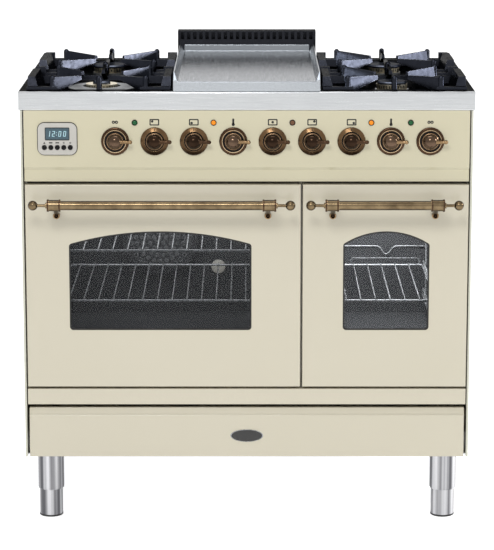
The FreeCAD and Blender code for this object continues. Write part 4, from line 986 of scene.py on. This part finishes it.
def stage():
    """White floor: it keeps the object's shadow, and is lifted to white for the eye."""
    mesh = bpy.data.meshes.new("floor")
    shape = bmesh.new()
    corners = ((-1, -1), (1, -1), (1, 1), (-1, 1))
    shape.faces.new([shape.verts.new((x * FLOOR_HALF, y * FLOOR_HALF, 0)) for x, y in corners])
    shape.to_mesh(mesh)
    shape.free()
    floor = bpy.data.objects.new("floor", mesh)
    bpy.context.scene.collection.objects.link(floor)
    paint = Paint("FloorPaint", (0.9, 0.9, 0.9, 1), 0, 0.6)
    paint.tint(paint.noise(3), (0.88, 0.88, 0.88, 1), 0.5)
    glow = paint.node("ShaderNodeEmission", Color=(1, 1, 1, 1))
    paint.link(paint.spread(seen_directly(paint.tree), 0, FLOOR_GLOW, 0, 1), glow.inputs["Strength"])
    add = paint.tree.nodes.new("ShaderNodeAddShader")
    paint.link(paint.shader.outputs["BSDF"], add.inputs[0])
    paint.link(glow.outputs["Emission"], add.inputs[1])
    paint.link(add.outputs["Shader"], paint.tree.nodes["Material Output"].inputs["Surface"])
    floor.data.materials.append(paint.material)


def seen_directly(tree):
    """1 for rays from the eye, from a reflection or through glass, 0 for light."""
    path = tree.nodes.new("ShaderNodeLightPath")
    seen = path.outputs["Is Camera Ray"]
    for kind in ("Is Glossy Ray", "Is Transmission Ray"):
        either = tree.nodes.new("ShaderNodeMath")
        either.operation = "MAXIMUM"
        tree.links.new(seen, either.inputs[0])
        tree.links.new(path.outputs[kind], either.inputs[1])
        seen = either.outputs["Value"]
    return seen


def world():
    """White studio: full white to the eye and to reflections, softer as light."""
    space = bpy.data.worlds.new("studio")
    bpy.context.scene.world = space
    space.use_nodes = True
    tree = space.node_tree
    background = tree.nodes["Background"]
    level = tree.nodes.new("ShaderNodeMapRange")
    level.inputs["To Min"].default_value = LIGHT_LEVEL
    level.inputs["To Max"].default_value = 1.0
    tree.links.new(seen_directly(tree), level.inputs["Value"])
    tree.links.new(level.outputs["Result"], background.inputs["Strength"])
    background.inputs["Color"].default_value = (1, 1, 1, 1)


def lamp(name, place, target, size, power):
    """A rectangular lamp that looks at a target, in metres and watts."""
    data = bpy.data.lights.new(name, "AREA")
    data.shape = "RECTANGLE"
    data.size, data.size_y = size
    data.energy = power
    item = bpy.data.objects.new(name, data)
    item.location = place
    item.rotation_euler = (Vector(target) - Vector(place)).to_track_quat("-Z", "Y").to_euler()
    bpy.context.scene.collection.objects.link(item)


def camera():
    """The viewpoint of the photo: a long lens that looks down a little, without shift."""
    data = bpy.data.cameras.new("camera")
    data.sensor_width = 36
    data.lens = FOCAL_LENGTH
    data.clip_start, data.clip_end = 0.1, 200
    item = bpy.data.objects.new("camera", data)
    item.location = EYE
    item.rotation_euler = (math.radians(90 - LOOKS_DOWN), 0, 0)
    bpy.context.scene.collection.objects.link(item)
    bpy.context.scene.camera = item
    bpy.context.scene.view_settings.view_transform = "Standard"


paint_nodes()
soften(("front_rail", "griddle_plate", "drawer_front", "left_door_panel", "right_door_panel"), 0.0012)
soften([name for name in frame["nodes"] if name.endswith("_grate")], 0.0009)
soften([name for name in frame["nodes"] if name.endswith("_cap")], 0.0006)
lamps()
bezels()
knob_trims()
icons()
timer_shadow_band()
timer_display()
window_seals()
handle_bands()
handle_eyes()
badge()
oven_seals()
oven_lamp()
fan_cover_rims()
right_oven_wires()
burner_details()
screws()
rating_plate()
foot_glides()
stage()
world()
lamp("key", (-0.6, -3.5, 3.6), (0, 0, 0.5), (1.6, 1.0), 60)
lamp("side", (3.0, 0.12, 1.7), (0, 0.05, 0.9), (0.9, 0.56), 42)
lamp("top", (0, 0.2, 3.2), (0, 0, 0.8), (1.6, 1.0), 24)
lamp("left_oven", (-0.166, -0.02, 0.622), (-0.166, -0.02, 0.3), (0.40, 0.34), 1.3)
lamp("right_oven", (0.276, -0.02, 0.622), (0.276, -0.02, 0.3), (0.2, 0.34), 3.0)
camera()
